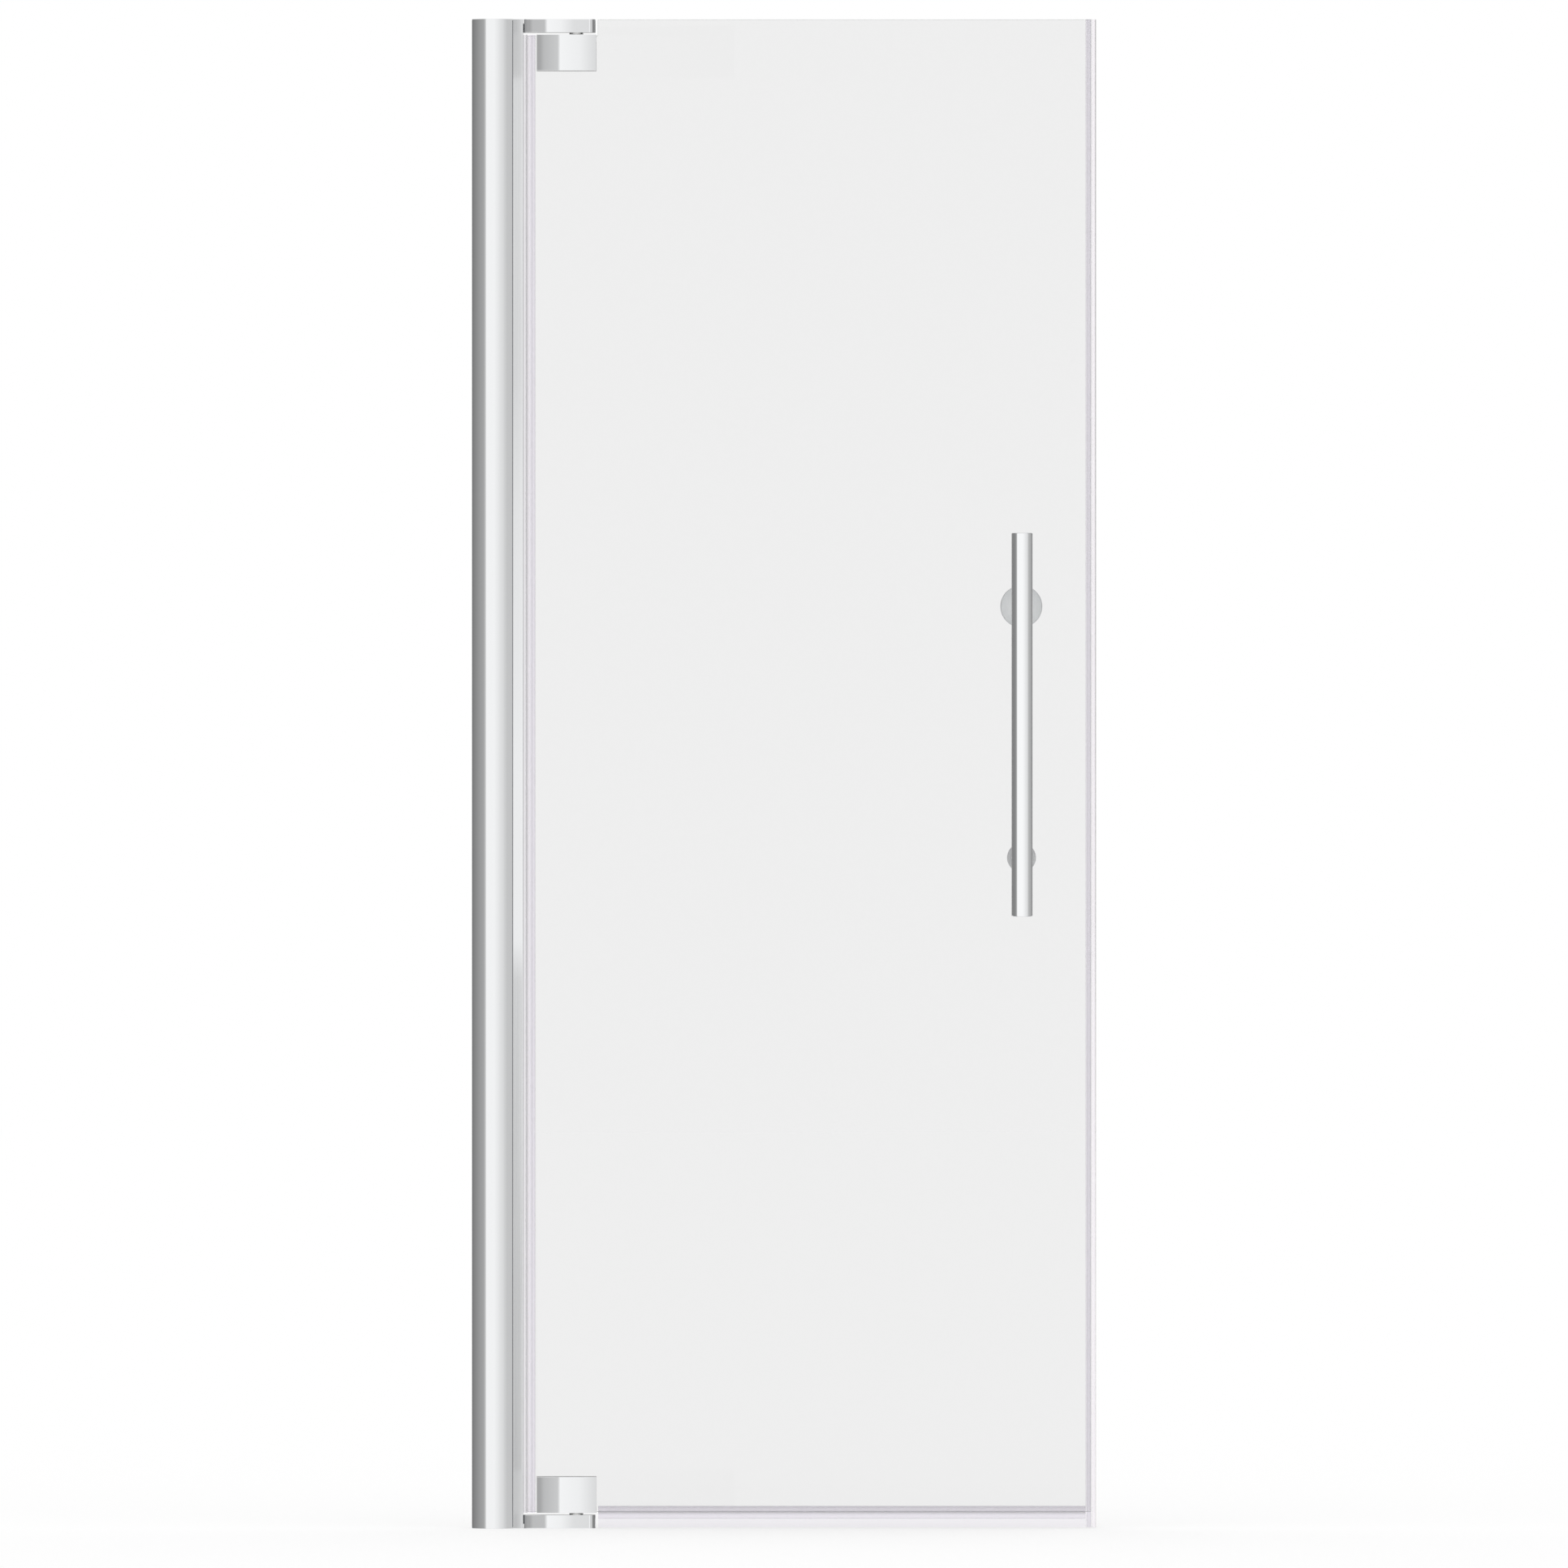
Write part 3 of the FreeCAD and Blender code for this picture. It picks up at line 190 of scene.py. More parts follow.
def clearGlass():
    # Toughened float glass: clear and flat, with a trace of roller wave in its reflections.
    look = glassLook
    material, tree, shader = newMaterial("clearGlass", {
        "Base Color": linearColour(look["colour"]), "Roughness": 0.0, "IOR": look["index"],
        "Transmission Weight": 1.0})
    place = objectPattern(tree, (look["waveStretch"], 1, 1))
    addRelief(tree, shader, place, look["waveLength"], look["waveDepth"], 0.0)
    return material


def groundGlassEdge():
    # The cut edge, ground flat and part polished: paler and softer than the faces.
    look = glassLook
    material, tree, shader = newMaterial("groundGlassEdge", {
        "Base Color": linearColour(look["edgeColour"]), "Roughness": look["edgeRoughness"],
        "IOR": look["index"], "Transmission Weight": look["edgeClearness"]})
    addRelief(tree, shader, objectPattern(tree), look["grindSize"], look["grindDepth"], 2.0)
    return material


vinylLook = {
    "index": 1.53,
    "roughness": 0.1,
    "lineSpacing": 0.7 * mm,
    "lineDepth": 0.0008 * mm,
    "lineStretch": 0.01,
    "cast": (0, -2, 2),
    # brightness (0 to 255) across each profile: the thick root of a rib or a lip is deeper
    "hinge": ("X", {
        62.3: 215, 63.5: 224, 64.6: 255, 66.1: 250, 66.4: 207, 67.1: 207, 67.4: 255, 71.1: 251, 72.7: 242,
        74.3: 251, 76.8: 240}),
    "strike": ("X", {745.0: 255, 745.5: 238, 747.7: 244, 750.1: 237, 750.8: 255}),
    "sweep": ("Z", {
        15.4: 244, 18.3: 233, 18.5: 203, 19.7: 203, 19.9: 233, 23.3: 242, 24.7: 233, 26.8: 246}),
}


def clearVinyl(profile):
    # Extruded PVC with a lilac cast: die lines run along it, and it deepens where it is thick.
    look = vinylLook
    material, tree, shader = newMaterial("clearVinyl" + profile.title(), {
        "Roughness": look["roughness"], "IOR": look["index"], "Transmission Weight": 1.0})
    axis, greys = look[profile]
    place = addNode(tree, "ShaderNodeTexCoord").outputs["Object"]
    shade = rampAlong(tree, place, axis, greys, look["cast"])
    tree.links.new(shade, shader.inputs["Base Color"])
    stretch = look["lineStretch"]
    along = objectPattern(tree, (1, 1, stretch) if axis == "X" else (stretch, 1, 1))
    addRelief(tree, shader, along, look["lineSpacing"], look["lineDepth"], 2.0)
    return material


# grain is the size of the texture, drawn coarse enough to show, and depth its height
# a dull dark grey: a real unpolished finish where it is hidden, and painted shade in the gaps between parts
dullMetalAndGapShade = {"dark": "#9FA0A2", "light": "#ABACAE", "grain": 2.0 * mm, "depth": 0.002 * mm,
             "roughness": 0.35, "metallic": 1.0}
grainyLooks = {
    # turned and passivated steel: an even satin grey
    "turnedStainless": {"dark": "#BDBCBA", "light": "#D6D5D3", "grain": 1.2 * mm, "depth": 0.002 * mm,
                        "roughness": 0.2, "metallic": 1.0},
    # ground and polished steel: a close, dark mirror
    "polishedSteel": {"dark": "#C9C9C8", "light": "#D6D6D5", "grain": 1.5 * mm, "depth": 0.0006 * mm,
                      "roughness": 0.08, "metallic": 1.0},
    # as it leaves the die, unpolished: dull and darker, inside the channel and against the wall; on the
    # mouth's rounded lip the same dark grey is painted shade, the shadow line where the post meets the jamb
    "dieFinishAndPaintedGapShade": dullMetalAndGapShade,
    # chrome painted dull and darker on the arm's end at the post: painted shade for the narrow gap between
    # arm and post
    "paintedGapShadeChrome": dullMetalAndGapShade,
    # moulded nylon: milky white with a slight sheen
    "mouldedNylon": {"dark": "#E9E7E1", "light": "#F3F1EC", "grain": 0.8 * mm, "depth": 0.01 * mm,
                     "roughness": 0.45, "metallic": 0.0},
    # pressed fibre sheet: dull and flecked
    "pressedFibre": {"dark": "#A2A3A4", "light": "#C4C5C6", "grain": 0.7 * mm, "depth": 0.03 * mm,
                     "roughness": 0.85, "metallic": 0.0},
}


def grainyMaterial(name):
    look = grainyLooks[name]
    material, tree, shader = newMaterial(name, {
        "Roughness": look["roughness"], "Metallic": look["metallic"]})
    grain = addRelief(tree, shader, objectPattern(tree), look["grain"], look["depth"], 3.0)
    colour = addNode(tree, "ShaderNodeMix", {
        "Factor": grain, 6: linearColour(look["dark"]), 7: linearColour(look["light"])}, data_type="RGBA")
    tree.links.new(colour.outputs[2], shader.inputs["Base Color"])
    return material


# painted highlight on each disc: the colour goes from "middle" near the stud to the darker "rim" over
# "reach"
satinHighlightLook = {
    "knob_head": {"height": glassShape["handleHeights"][1], "middle": "#FAFCFD", "rim": "#ECEFF0"},
    "inner_cap": {"height": glassShape["handleHeights"][0], "middle": "#E2E3E4", "rim": "#D8D9DA"},
    "reach": (14 * mm, 25 * mm),
    "roughness": 0.29,
    "ringSpacing": 0.5 * mm,
    "ringDepth": 0.002 * mm,
}


def satinChromeWithPaintedHighlight(nodeName):
    # Chrome over a turned face, with fine rings round the stud that soften it; its colour is a painted
    # highlight, lightest in the middle and darker towards the rim, and the inner cap's colours are darker
    # than the knob's.
    look = satinHighlightLook
    disc = look[nodeName]
    material, tree, shader = newMaterial("satinChromeWithPaintedHighlight" + nodeName.title().replace("_", ""), {
        "Roughness": look["roughness"], "Metallic": 1.0})
    place = addNode(tree, "ShaderNodeTexCoord").outputs["Object"]
    centre = (glassShape["handleX"] * mm, 0, disc["height"] * mm)
    arm = addNode(tree, "ShaderNodeVectorMath", {0: place, 1: centre}, operation="SUBTRACT")
    flat = addNode(tree, "ShaderNodeVectorMath", {0: arm, 1: (1, 0, 1)}, operation="MULTIPLY")
    radius = addNode(tree, "ShaderNodeVectorMath", {0: flat}, operation="LENGTH").outputs["Value"]
    # painted highlight: lightest in the middle, darker towards the rim
    outwards = addNode(tree, "ShaderNodeMapRange", {
        "Value": radius, "From Min": look["reach"][0], "From Max": look["reach"][1]})
    colour = addNode(tree, "ShaderNodeMix", {
        "Factor": outwards, 6: linearColour(disc["middle"]), 7: linearColour(disc["rim"])},
        data_type="RGBA")
    tree.links.new(colour.outputs[2], shader.inputs["Base Color"])
    turns = addNode(tree, "ShaderNodeMath", {
        0: radius, 1: 2 * math.pi / look["ringSpacing"]}, operation="MULTIPLY")
    rings = addNode(tree, "ShaderNodeMath", {0: turns}, operation="SINE")
    bump = addNode(tree, "ShaderNodeBump", {
        "Height": rings, "Distance": look["ringDepth"], "Strength": 1.0})
    tree.links.new(bump.outputs[0], shader.inputs["Normal"])
    return material


chrome = polishedMetal("polishedChrome")
aluminium = polishedMetal("polishedAluminium")
glass = clearGlass()
glassEdge = groundGlassEdge()
hingeVinyl, strikeVinyl, sweepVinyl = (clearVinyl(profile) for profile in ("hinge", "strike", "sweep"))
stainless = grainyMaterial("turnedStainless")
polishedSteel = grainyMaterial("polishedSteel")
# unpolished aluminium that is also painted shade on the jamb's mouth, and painted shade for the arms' ends
# at the post
dieFinishAndGapShade = grainyMaterial("dieFinishAndPaintedGapShade")
armGapShade = grainyMaterial("paintedGapShadeChrome")
finishes = {
    "polished_chrome": chrome,
    "polished_aluminium": aluminium,
    "clear_glass": glass,
    "clear_vinyl": hingeVinyl,
    "stainless_steel": stainless,
    "white_nylon": grainyMaterial("mouldedNylon"),
    "grey_fibre": grainyMaterial("pressedFibre"),
}
for node in nodes.values():
    slotName = node.material_slots[0].material.name.split(".")[0]
    node.material_slots[0].material = finishes[slotName]
for nodeName in ("knob_head", "inner_cap"):
    nodes[nodeName].material_slots[0].material = satinChromeWithPaintedHighlight(nodeName)
print("finishes assigned")


# mesh helpers, in millimetres

def roundedLoop(corners, steps=4):
    # a closed loop through (x, y) corners; one with a third value is turned on a curve of that radius
    points = []
    for i, corner in enumerate(corners):
        here = Vector(corner[:2])
        if len(corner) == 2:
            points.append(here)
            continue
        before = Vector(corners[i - 1][:2]) - here
        after = Vector(corners[(i + 1) % len(corners)][:2]) - here
        reach = corner[2] / math.tan(before.angle(after) / 2)
        reach = min(reach, before.length / 2, after.length / 2)
        start = here + before.normalized() * reach
        end = here + after.normalized() * reach
        for step in range(steps + 1):
            t = step / steps
            points.append(start * (1 - t) ** 2 + here * 2 * t * (1 - t) + end * t ** 2)
    return points


def arcPoints(centre, radius, first, last, steps):
    # angles in degrees, counter-clockwise from +X
    turns = [math.radians(first + (last - first) * i / steps) for i in range(steps + 1)]
    return [(centre[0] + radius * math.cos(a), centre[1] + radius * math.sin(a)) for a in turns]


def circleLoop(centre, radius, steps=48):
    return arcPoints(centre, radius, 0, 360, steps)[:-1]


# a point of a flat outline is put at a level along Z, X or Y
def standing(point, level):
    return Vector((point[0], point[1], level))


def lying(point, level):
    return Vector((level, point[0], point[1]))


def facing(point, level):
    return Vector((point[0], level, point[1]))


def towardsMaterial(loops):
    # the outline runs counter-clockwise and the holes clockwise, without repeated corners
    turned = []
    for number, loop in enumerate(loops):
        corners = [Vector(point[:2]) for point in loop]
        corners = [c for i, c in enumerate(corners) if (c - corners[i - 1]).length > 0.0001]
        area = sum(corners[i - 1].cross(corners[i]) for i in range(len(corners)))
        turned.append(corners if (area > 0) == (number == 0) else corners[::-1])
    return turned


def movedLeft(loop, distance):
    # every side of a closed loop moves to its left
    if not distance:
        return loop
    sharpest = 0.3
    moved = []
    for i, here in enumerate(loop):
        before = (here - loop[i - 1]).normalized()
        after = (loop[(i + 1) % len(loop)] - here).normalized()
        left = Vector((-before.y - after.y, before.x + after.x)).normalized()
        moved.append(here + left * distance / max(left.dot(Vector((-after.y, after.x))), sharpest))
    return moved


def extruded(loops, low, high, place=standing, lowTurn=0.0, highTurn=0.0, steps=4):
    # a solid between two levels; the first loop is the outline, the others are holes, and the
    # edges round either end can be turned
    mesh = bmesh.new()
    loops = towardsMaterial(loops)
    levels = []
    for level, turn, side in ((low, lowTurn, 1), (high, highTurn, -1)):
        angles = [math.pi / 2 * i / steps for i in range(steps + 1)] if turn else [math.pi / 2]
        ring = [(level + side * turn * (1 - math.cos(a)), turn * (1 - math.sin(a))) for a in angles]
        levels += ring if side > 0 else ring[::-1]
    rims = []
    for number, (level, inset) in enumerate(levels):
        rim = []
        edges = []
        for loop in loops:
            corners = [mesh.verts.new(place(point, level)) for point in movedLeft(loop, inset)]
            rim.append(corners)
            if number in (0, len(levels) - 1):
                edges += [mesh.edges.new((corners[i - 1], corners[i])) for i in range(len(corners))]
        if edges and len(loops) == 1:
            mesh.faces.new(rim[0])
        elif edges:
            bmesh.ops.triangle_fill(mesh, use_beauty=True, edges=edges)
        rims.append(rim)
    for lower, upper in zip(rims, rims[1:]):
        for lowLoop, highLoop in zip(lower, upper):
            for i in range(len(lowLoop)):
                mesh.faces.new((lowLoop[i - 1], lowLoop[i], highLoop[i], highLoop[i - 1]))
    bmesh.ops.recalc_face_normals(mesh, faces=mesh.faces)
    return mesh


def lathed(profile, origin, axis, turns=72):
    # a turned solid; the profile gives (radius, height along the axis) and starts and ends on the axis
    mesh = bmesh.new()
    turn = Vector((0, 0, 1)).rotation_difference(Vector(axis)).to_matrix()
    rings = []
    for radius, height in profile:
        if radius == 0:
            rings.append([mesh.verts.new(turn @ Vector((0, 0, height)) + Vector(origin))])
            continue
        circle = circleLoop((0, 0), radius, turns)
        rings.append([mesh.verts.new(turn @ standing(point, height) + Vector(origin)) for point in circle])
    for inner, outer in zip(rings, rings[1:]):
        for i in range(turns):
            corners = [inner[i - 1], inner[i]] if len(inner) > 1 else [inner[0]]
            corners += [outer[i], outer[i - 1]] if len(outer) > 1 else [outer[0]]
            mesh.faces.new(corners)
    bmesh.ops.recalc_face_normals(mesh, faces=mesh.faces)
    return mesh


def joined(meshes):
    whole = bmesh.new()
    for mesh in meshes:
        part = bpy.data.meshes.new("part")
        mesh.to_mesh(part)
        mesh.free()
        whole.from_mesh(part)
        bpy.data.meshes.remove(part)
    return whole


def objectFrom(name, mesh):
    data = bpy.data.meshes.new(name)
    mesh.to_mesh(data)
    mesh.free()
    data.transform(Matrix.Scale(mm, 4))
    piece = bpy.data.objects.new(name, data)
    bpy.context.scene.collection.objects.link(piece)
    return piece


def settled(piece):
    # keeps the piece as its modifiers leave it, and drops them
    graph = bpy.context.evaluated_depsgraph_get()
    data = bpy.data.meshes.new_from_object(piece.evaluated_get(graph))
    piece.modifiers.clear()
    old = piece.data
    piece.data = data
    bpy.data.meshes.remove(old)
    data.name = piece.name


over = 1  # millimetres by which a cutter reaches past what it cuts


def cutAway(piece, cutterMesh):
    cutter = objectFrom("cutter", cutterMesh)
    cut = piece.modifiers.new("cut", "BOOLEAN")
    cut.object = cutter
    cut.operation = "DIFFERENCE"
    cut.solver = "EXACT"
    settled(piece)
    bpy.data.objects.remove(cutter)


crispCrease = 10  # degrees, for plated blocks: their turned edges don't bend the light on the faces


def smoothBetweenCreases(piece, crease):
    # curved faces shade smooth, edges sharper than the crease stay crisp, and flat faces stay flat
    mesh = bmesh.new()
    mesh.from_mesh(piece.data)
    for face in mesh.faces:
        face.smooth = True
    for edge in mesh.edges:
        edge.smooth = len(edge.link_faces) == 2 and edge.calc_face_angle(0) < math.radians(crease)
    mesh.to_mesh(piece.data)
    mesh.free()
    weighted = piece.modifiers.new("weighted", "WEIGHTED_NORMAL")
    weighted.keep_sharp = True
    settled(piece)


def paint(piece, base, second, chosen):
    # the faces that chosen accepts, by their middle (mm) and normal, get the second material
    for material in (base, second):
        piece.data.materials.append(material)
    for face in piece.data.polygons:
        if chosen(face.center / mm, face.normal):
            face.material_index = 1


def fit(piece, body, slot, *replaced, material=None, crease=30):
    # smooths a finished piece and gives it its material, its body and the nodes that it stands for
    smoothBetweenCreases(piece, crease)
    if not piece.data.materials:
        piece.data.materials.append(material or finishes[slot])
    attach(piece, body)
    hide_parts(*replaced)


def spanOf(node):
    # lowest and highest corner of a node in millimetres
    low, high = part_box(node)
    return low / mm, high / mm


# wall jamb and post

jambShape = {
    "crestX": 26.6,
    "crestRadius": 20.5,
    "crestLeftX": 16.6,
    "crestRightX": 36.0,
    "leftRadius": 50.0,
    "rightRadius": 96.0,
    "arcSteps": (16, 28, 12),
    "skin": 1.6,
    "wall": 1.7,
    "web": 2.5,
    "channelStart": 6.0,
    "channelHalf": 11.3,
    "grooveHalf": 7.0,
    "chamberLeft": 9.0,
    "chamberRight": 44.0,
    "cornerRound": 0.4,
    "mouthRound": 1.5,
    "holeRadius": 2.75,
    "holeFirst": 114.4,
    "holePitch": 400.0,
    "holeCount": 5,
    "slotLeft": 22.0,
    "slotRight": 44.0,
    "slotHalf": 2.45,
    "slotFirst": 164.4,
    "slotPitch": 500.0,
    "slotCount": 4,
    "slotSteps": 12,
    "plugLength": 8.0,
    "plugPlay": 0.1,
}


def jambFront(front, inset, left, right):
    # three tangent arcs from the wall to the mouth, set in by the skin where they line the chamber
    shape = jambShape
    crest = (shape["crestX"], shape["crestRadius"] + front)
    radius = shape["crestRadius"]
    joints = [-math.acos((shape[x] - crest[0]) / radius) for x in ("crestLeftX", "crestRightX")]
    centres = []
    for joint, wide in zip(joints, (shape["leftRadius"], shape["rightRadius"])):
        reach = radius - wide
        centres.append((crest[0] + reach * math.cos(joint), crest[1] + reach * math.sin(joint)))
    first = -math.acos((left - centres[0][0]) / (shape["leftRadius"] - inset))
    last = -math.acos((right - centres[1][0]) / (shape["rightRadius"] - inset))
    angles = [math.degrees(a) for a in (first, *joints, last)]
    arcs = zip((centres[0], crest, centres[1]), (shape["leftRadius"], radius, shape["rightRadius"]),
               angles, angles[1:], shape["arcSteps"])
    points = []
    for centre, size, start, end, steps in arcs:
        points += arcPoints(centre, size - inset, start, end, steps)[len(points) > 0:]
    return points


def jambOutline(low, high):
    shape = jambShape
    turn = shape["cornerRound"]
    half, start = shape["channelHalf"], shape["channelStart"]
    groove, web = shape["grooveHalf"], shape["web"]
    front = jambFront(low.y, 0, low.x, high.x)
    return roundedLoop([
        (low.x, high.y, turn), (*front[0], turn), *front[1:-1], (*front[-1], shape["mouthRound"]),
        (high.x, -half, turn), (start, -half, turn), (start, -groove), (web, -groove), (web, groove),
        (start, groove), (start, half, turn), (high.x, half, turn), (high.x, high.y, turn),
    ])


def jambChamber(low, play=0.0):
    shape = jambShape
    floor = -(shape["channelHalf"] + shape["wall"] + play)
    left, right = shape["chamberLeft"] + play, shape["chamberRight"] - play
    lining = jambFront(low.y, shape["skin"] + play, left, right)
    return [(left, floor), *lining, (right, floor)]


def makeWallJamb():
    shape = jambShape
    low, high = spanOf("wall_jamb")
    piece = objectFrom("wallJamb", extruded([jambOutline(low, high), jambChamber(low)], low.z, high.z))
    cutters = []
    for i in range(shape["holeCount"]):
        hole = circleLoop((0, shape["holeFirst"] + shape["holePitch"] * i), shape["holeRadius"])
        cutters.append(extruded([hole], -over, shape["web"] + over, lying))
    for i in range(shape["slotCount"]):
        height = shape["slotFirst"] + shape["slotPitch"] * i
        slot = []
        for x, turned in ((shape["slotLeft"], 90), (shape["slotRight"], -90)):
            slot += arcPoints((x, height), shape["slotHalf"], turned, turned + 180, shape["slotSteps"])
        cutters.append(extruded([slot], high.y - shape["wall"] - over, high.y + over, facing))
    cutAway(piece, joined(cutters))
    lip = high.x - shape["mouthRound"]
    inside = shape["channelHalf"] + 0.1

    # the wall face and the inside of the channel are unpolished; the mouth's rounded lip gets the same dark
    # grey as painted shade, the shadow line where the post meets the jamb
    def unpolishedAndGapShadeFaces(at, way):
        channel = at.x > shape["web"] - 0.1 and (abs(at.y) < inside or at.x > lip)
        wallFace = way.x < -0.99 and at.x < 0.01
        return wallFace or (channel and abs(way.z) < 0.5 and way.x > -0.1)

    paint(piece, aluminium, dieFinishAndGapShade, unpolishedAndGapShadeFaces)
    fit(piece, "jamb", "polished_aluminium", "wall_jamb")


def plugged(low, high, outline, plug, plugLength, outer, turn):
    # an end plate with a plug behind it; outer is 1 at the top and -1 at the bottom
    if outer > 0:
        plate = extruded([outline], low.z + plugLength, high.z, highTurn=turn)
        return joined([plate, extruded([plug], low.z, low.z + plugLength)])
    plate = extruded([outline], low.z, high.z - plugLength, lowTurn=turn)
    return joined([plate, extruded([plug], high.z - plugLength, high.z)])


def makeJambCap(name, node, outer):
    # closes the hollow front of the profile
    shape = jambShape
    low, high = spanOf(node)
    mesh = plugged(low, high, jambOutline(low, high), jambChamber(low, shape["plugPlay"]),
                   shape["plugLength"], outer, shape["cornerRound"] / 2)
    fit(objectFrom(name, mesh), "jamb", "polished_aluminium", node)


postShape = {"wall": 1.6, "face": 3.0, "cornerRound": 0.6, "plugRight": 48.0, "plateThickness": 1.5}


def boxLoop(left, low, right, high, turn):
    return roundedLoop([(left, low, turn), (right, low, turn), (right, high, turn), (left, high, turn)])


def makeExpander():
    shape = postShape
    low, high = spanOf("expander_profile")
    wall, turn = shape["wall"], shape["cornerRound"]
    outer = boxLoop(low.x, low.y, high.x, high.y, turn)
    inner = boxLoop(low.x + wall, low.y + wall, high.x - shape["face"], high.y - wall, turn)
    piece = objectFrom("expanderProfile", extruded([outer, inner], low.z, high.z))
    fit(piece, "post", "polished_aluminium", "expander_profile")


def makeExpanderPlug(name, node, outer):
    shape = postShape
    low, high = spanOf(node)
    turn = shape["cornerRound"]
    inset = shape["wall"] + jambShape["plugPlay"]
    outline = boxLoop(low.x, low.y, high.x, high.y, turn)
    plug = boxLoop(low.x + inset, low.y + inset, shape["plugRight"], high.y - inset, turn)
    mesh = plugged(low, high, outline, plug, high.z - low.z - shape["plateThickness"], outer, turn / 3)
    fit(objectFrom(name, mesh), "post", "polished_aluminium", node, crease=crispCrease)


ends = {"top": 1, "bottom": -1}
makeWallJamb()
for endName, end in ends.items():
    makeJambCap("jambCap" + endName.title(), "jamb_cap_" + endName, end)
makeExpander()
for endName, end in ends.items():
    makeExpanderPlug("expanderPlug" + endName.title(), "expander_plug_" + endName, end)
print("jamb and post made")


# pivot arms and hinge clamps

armShape = {
    "crown": 0.57,
    "postRound": 4.6,
    "freeRound": 8.0,
    "edgeRound": 0.35,
    "boreRadius": 4.6,
    "lockRadius": 2.6,
    "lockStart": 3.0,
    "reliefDepth": 1.2,
    "reliefHeight": 5.5,
    "reliefRound": 0.2,
    "arcSteps": (12, 24, 16),
}


def crownPoints(left, right, centre, crest, radius, steps):
    # a shallow arc whose highest point is at the centre
    points = []
    for i in range(steps + 1):
        x = left + (right - left) * i / steps
        points.append((x, crest - (x - centre) ** 2 / (2 * radius)))
    return points


def armOutline(low, high):
    shape = armShape
    centre = (low.x + high.x) / 2
    radius = (high.x - low.x) ** 2 / (8 * shape["crown"])
    left, right = low.x + shape["postRound"], high.x - shape["freeRound"]
    postSteps, backSteps, freeSteps = shape["arcSteps"]
    back = crownPoints(left, right, centre, high.y, radius, backSteps)
    freeCentre = (right, back[-1][1] - shape["freeRound"])
    postCentre = (left, back[0][1] - shape["postRound"])
    upper = arcPoints(postCentre, shape["postRound"], 180, 90, postSteps)[:-1] + back
    upper += arcPoints(freeCentre, shape["freeRound"], 90, 0, freeSteps)[1:]
    return upper + [(x, -y) for x, y in reversed(upper)]


def makeArm(name, node, pin, outer):
    shape = armShape
    low, high = spanOf(node)
    turn = shape["edgeRound"]
    piece = objectFrom(name, extruded([armOutline(low, high)], low.z, high.z, lowTurn=turn, highTurn=turn))
    pinLow, pinHigh = spanOf(pin)
    pivot = ((pinLow.x + pinHigh.x) / 2, 0)
    lock = circleLoop((pivot[0], (low.z + high.z) / 2), shape["lockRadius"])
    reliefLow = high.z - shape["reliefHeight"] if outer > 0 else low.z - over
    relief = boxLoop(low.x - over, low.y - over, low.x + shape["reliefDepth"], high.y + over,
                     shape["reliefRound"])
    cutAway(piece, joined([
        extruded([circleLoop(pivot, shape["boreRadius"])], low.z - over, high.z + over),
        extruded([lock], shape["lockStart"], high.y + over, facing),
        extruded([relief], reliefLow, reliefLow + shape["reliefHeight"] + over),
    ]))
    # the arm's end that faces the post is painted dark: painted shade for the narrow gap between arm and
    # post
    reach = low.x + shape["postRound"] / 2
    paint(piece, chrome, armGapShade, lambda at, way: way.x < -0.5 and abs(way.z) < 0.5 and at.x < reach)
    fit(piece, "post", "polished_chrome", node, crease=crispCrease)


clampShape = {
    "crown": 1.0,
    "crownSteps": 32,
    "edgeRound": 0.4,
    "recessHalf": 10.1,
    "recessDepth": 2.6,
    "recessHeight": 28.5,
    "recessRound": 0.1,
    "sinkRadius": 4.4,
    "sinkDepth": 5.5,
    "screwColumns": (98.5, 141.2),
    "screwRows": (10.0, 23.5),
    "pivotX": 126.4,
}


def makeClamp(name, node, end, side):
    # end is 1 at the top and -1 at the bottom; side is -1 towards the room and 1 in the shower
    shape = clampShape
    low, high = spanOf(node)
    inner, crest = (high.y, low.y) if side < 0 else (low.y, high.y)
    centre, width = (low.x + high.x) / 2, high.x - low.x
    radius = width ** 2 / (8 * shape["crown"])
    crown = crownPoints(low.x, high.x, centre, abs(crest), radius, shape["crownSteps"])
    face = [(x, y * side) for x, y in crown]
    edge = abs(face[0][1])
    mesh = extruded([[(low.x, inner), *face, (high.x, inner)]], low.z, high.z)

    def aroundTheFace(item):
        level = abs(item.verts[0].co.z - item.verts[1].co.z) < 0.001
        atEnd = all(min(abs(v.co.x - low.x), abs(v.co.x - high.x)) < 0.001 for v in item.verts)
        return all(abs(v.co.y) > edge - 0.001 for v in item.verts) and (level or atEnd)

    edges = [edge for edge in mesh.edges if aroundTheFace(edge)]
    bmesh.ops.bevel(mesh, geom=edges, offset=shape["edgeRound"], segments=4, profile=0.5,
                    affect="EDGES", clamp_overlap=True)
    piece = objectFrom(name, mesh)
    hinge = high.z if end > 0 else low.z
    recess = sorted((hinge + end * over, hinge - end * shape["recessHeight"]))
    depth = sorted(((abs(inner) - over) * side, (abs(inner) + shape["recessDepth"]) * side))
    pivot, half = shape["pivotX"], shape["recessHalf"]
    block = boxLoop(pivot - half, depth[0], pivot + half, depth[1], shape["recessRound"])
    cutters = [extruded([block], *recess)]
    if side > 0:
        for x in shape["screwColumns"]:
            for row in shape["screwRows"]:
                sink = circleLoop((x, hinge - end * row), shape["sinkRadius"])
                cutters.append(extruded([sink], crest - shape["sinkDepth"], crest + over, facing))
    cutAway(piece, joined(cutters))
    fit(piece, "door", "polished_chrome", node, crease=crispCrease)


for endName, end in ends.items():
    makeArm(endName + "Arm", endName + "_arm", endName + "_pivot_pin", end)
    makeClamp(endName + "FrontClamp", endName + "_front_clamp", end, -1)
    makeClamp(endName + "BackClamp", endName + "_back_clamp", end, 1)
print("hinges made")


# glass and seals

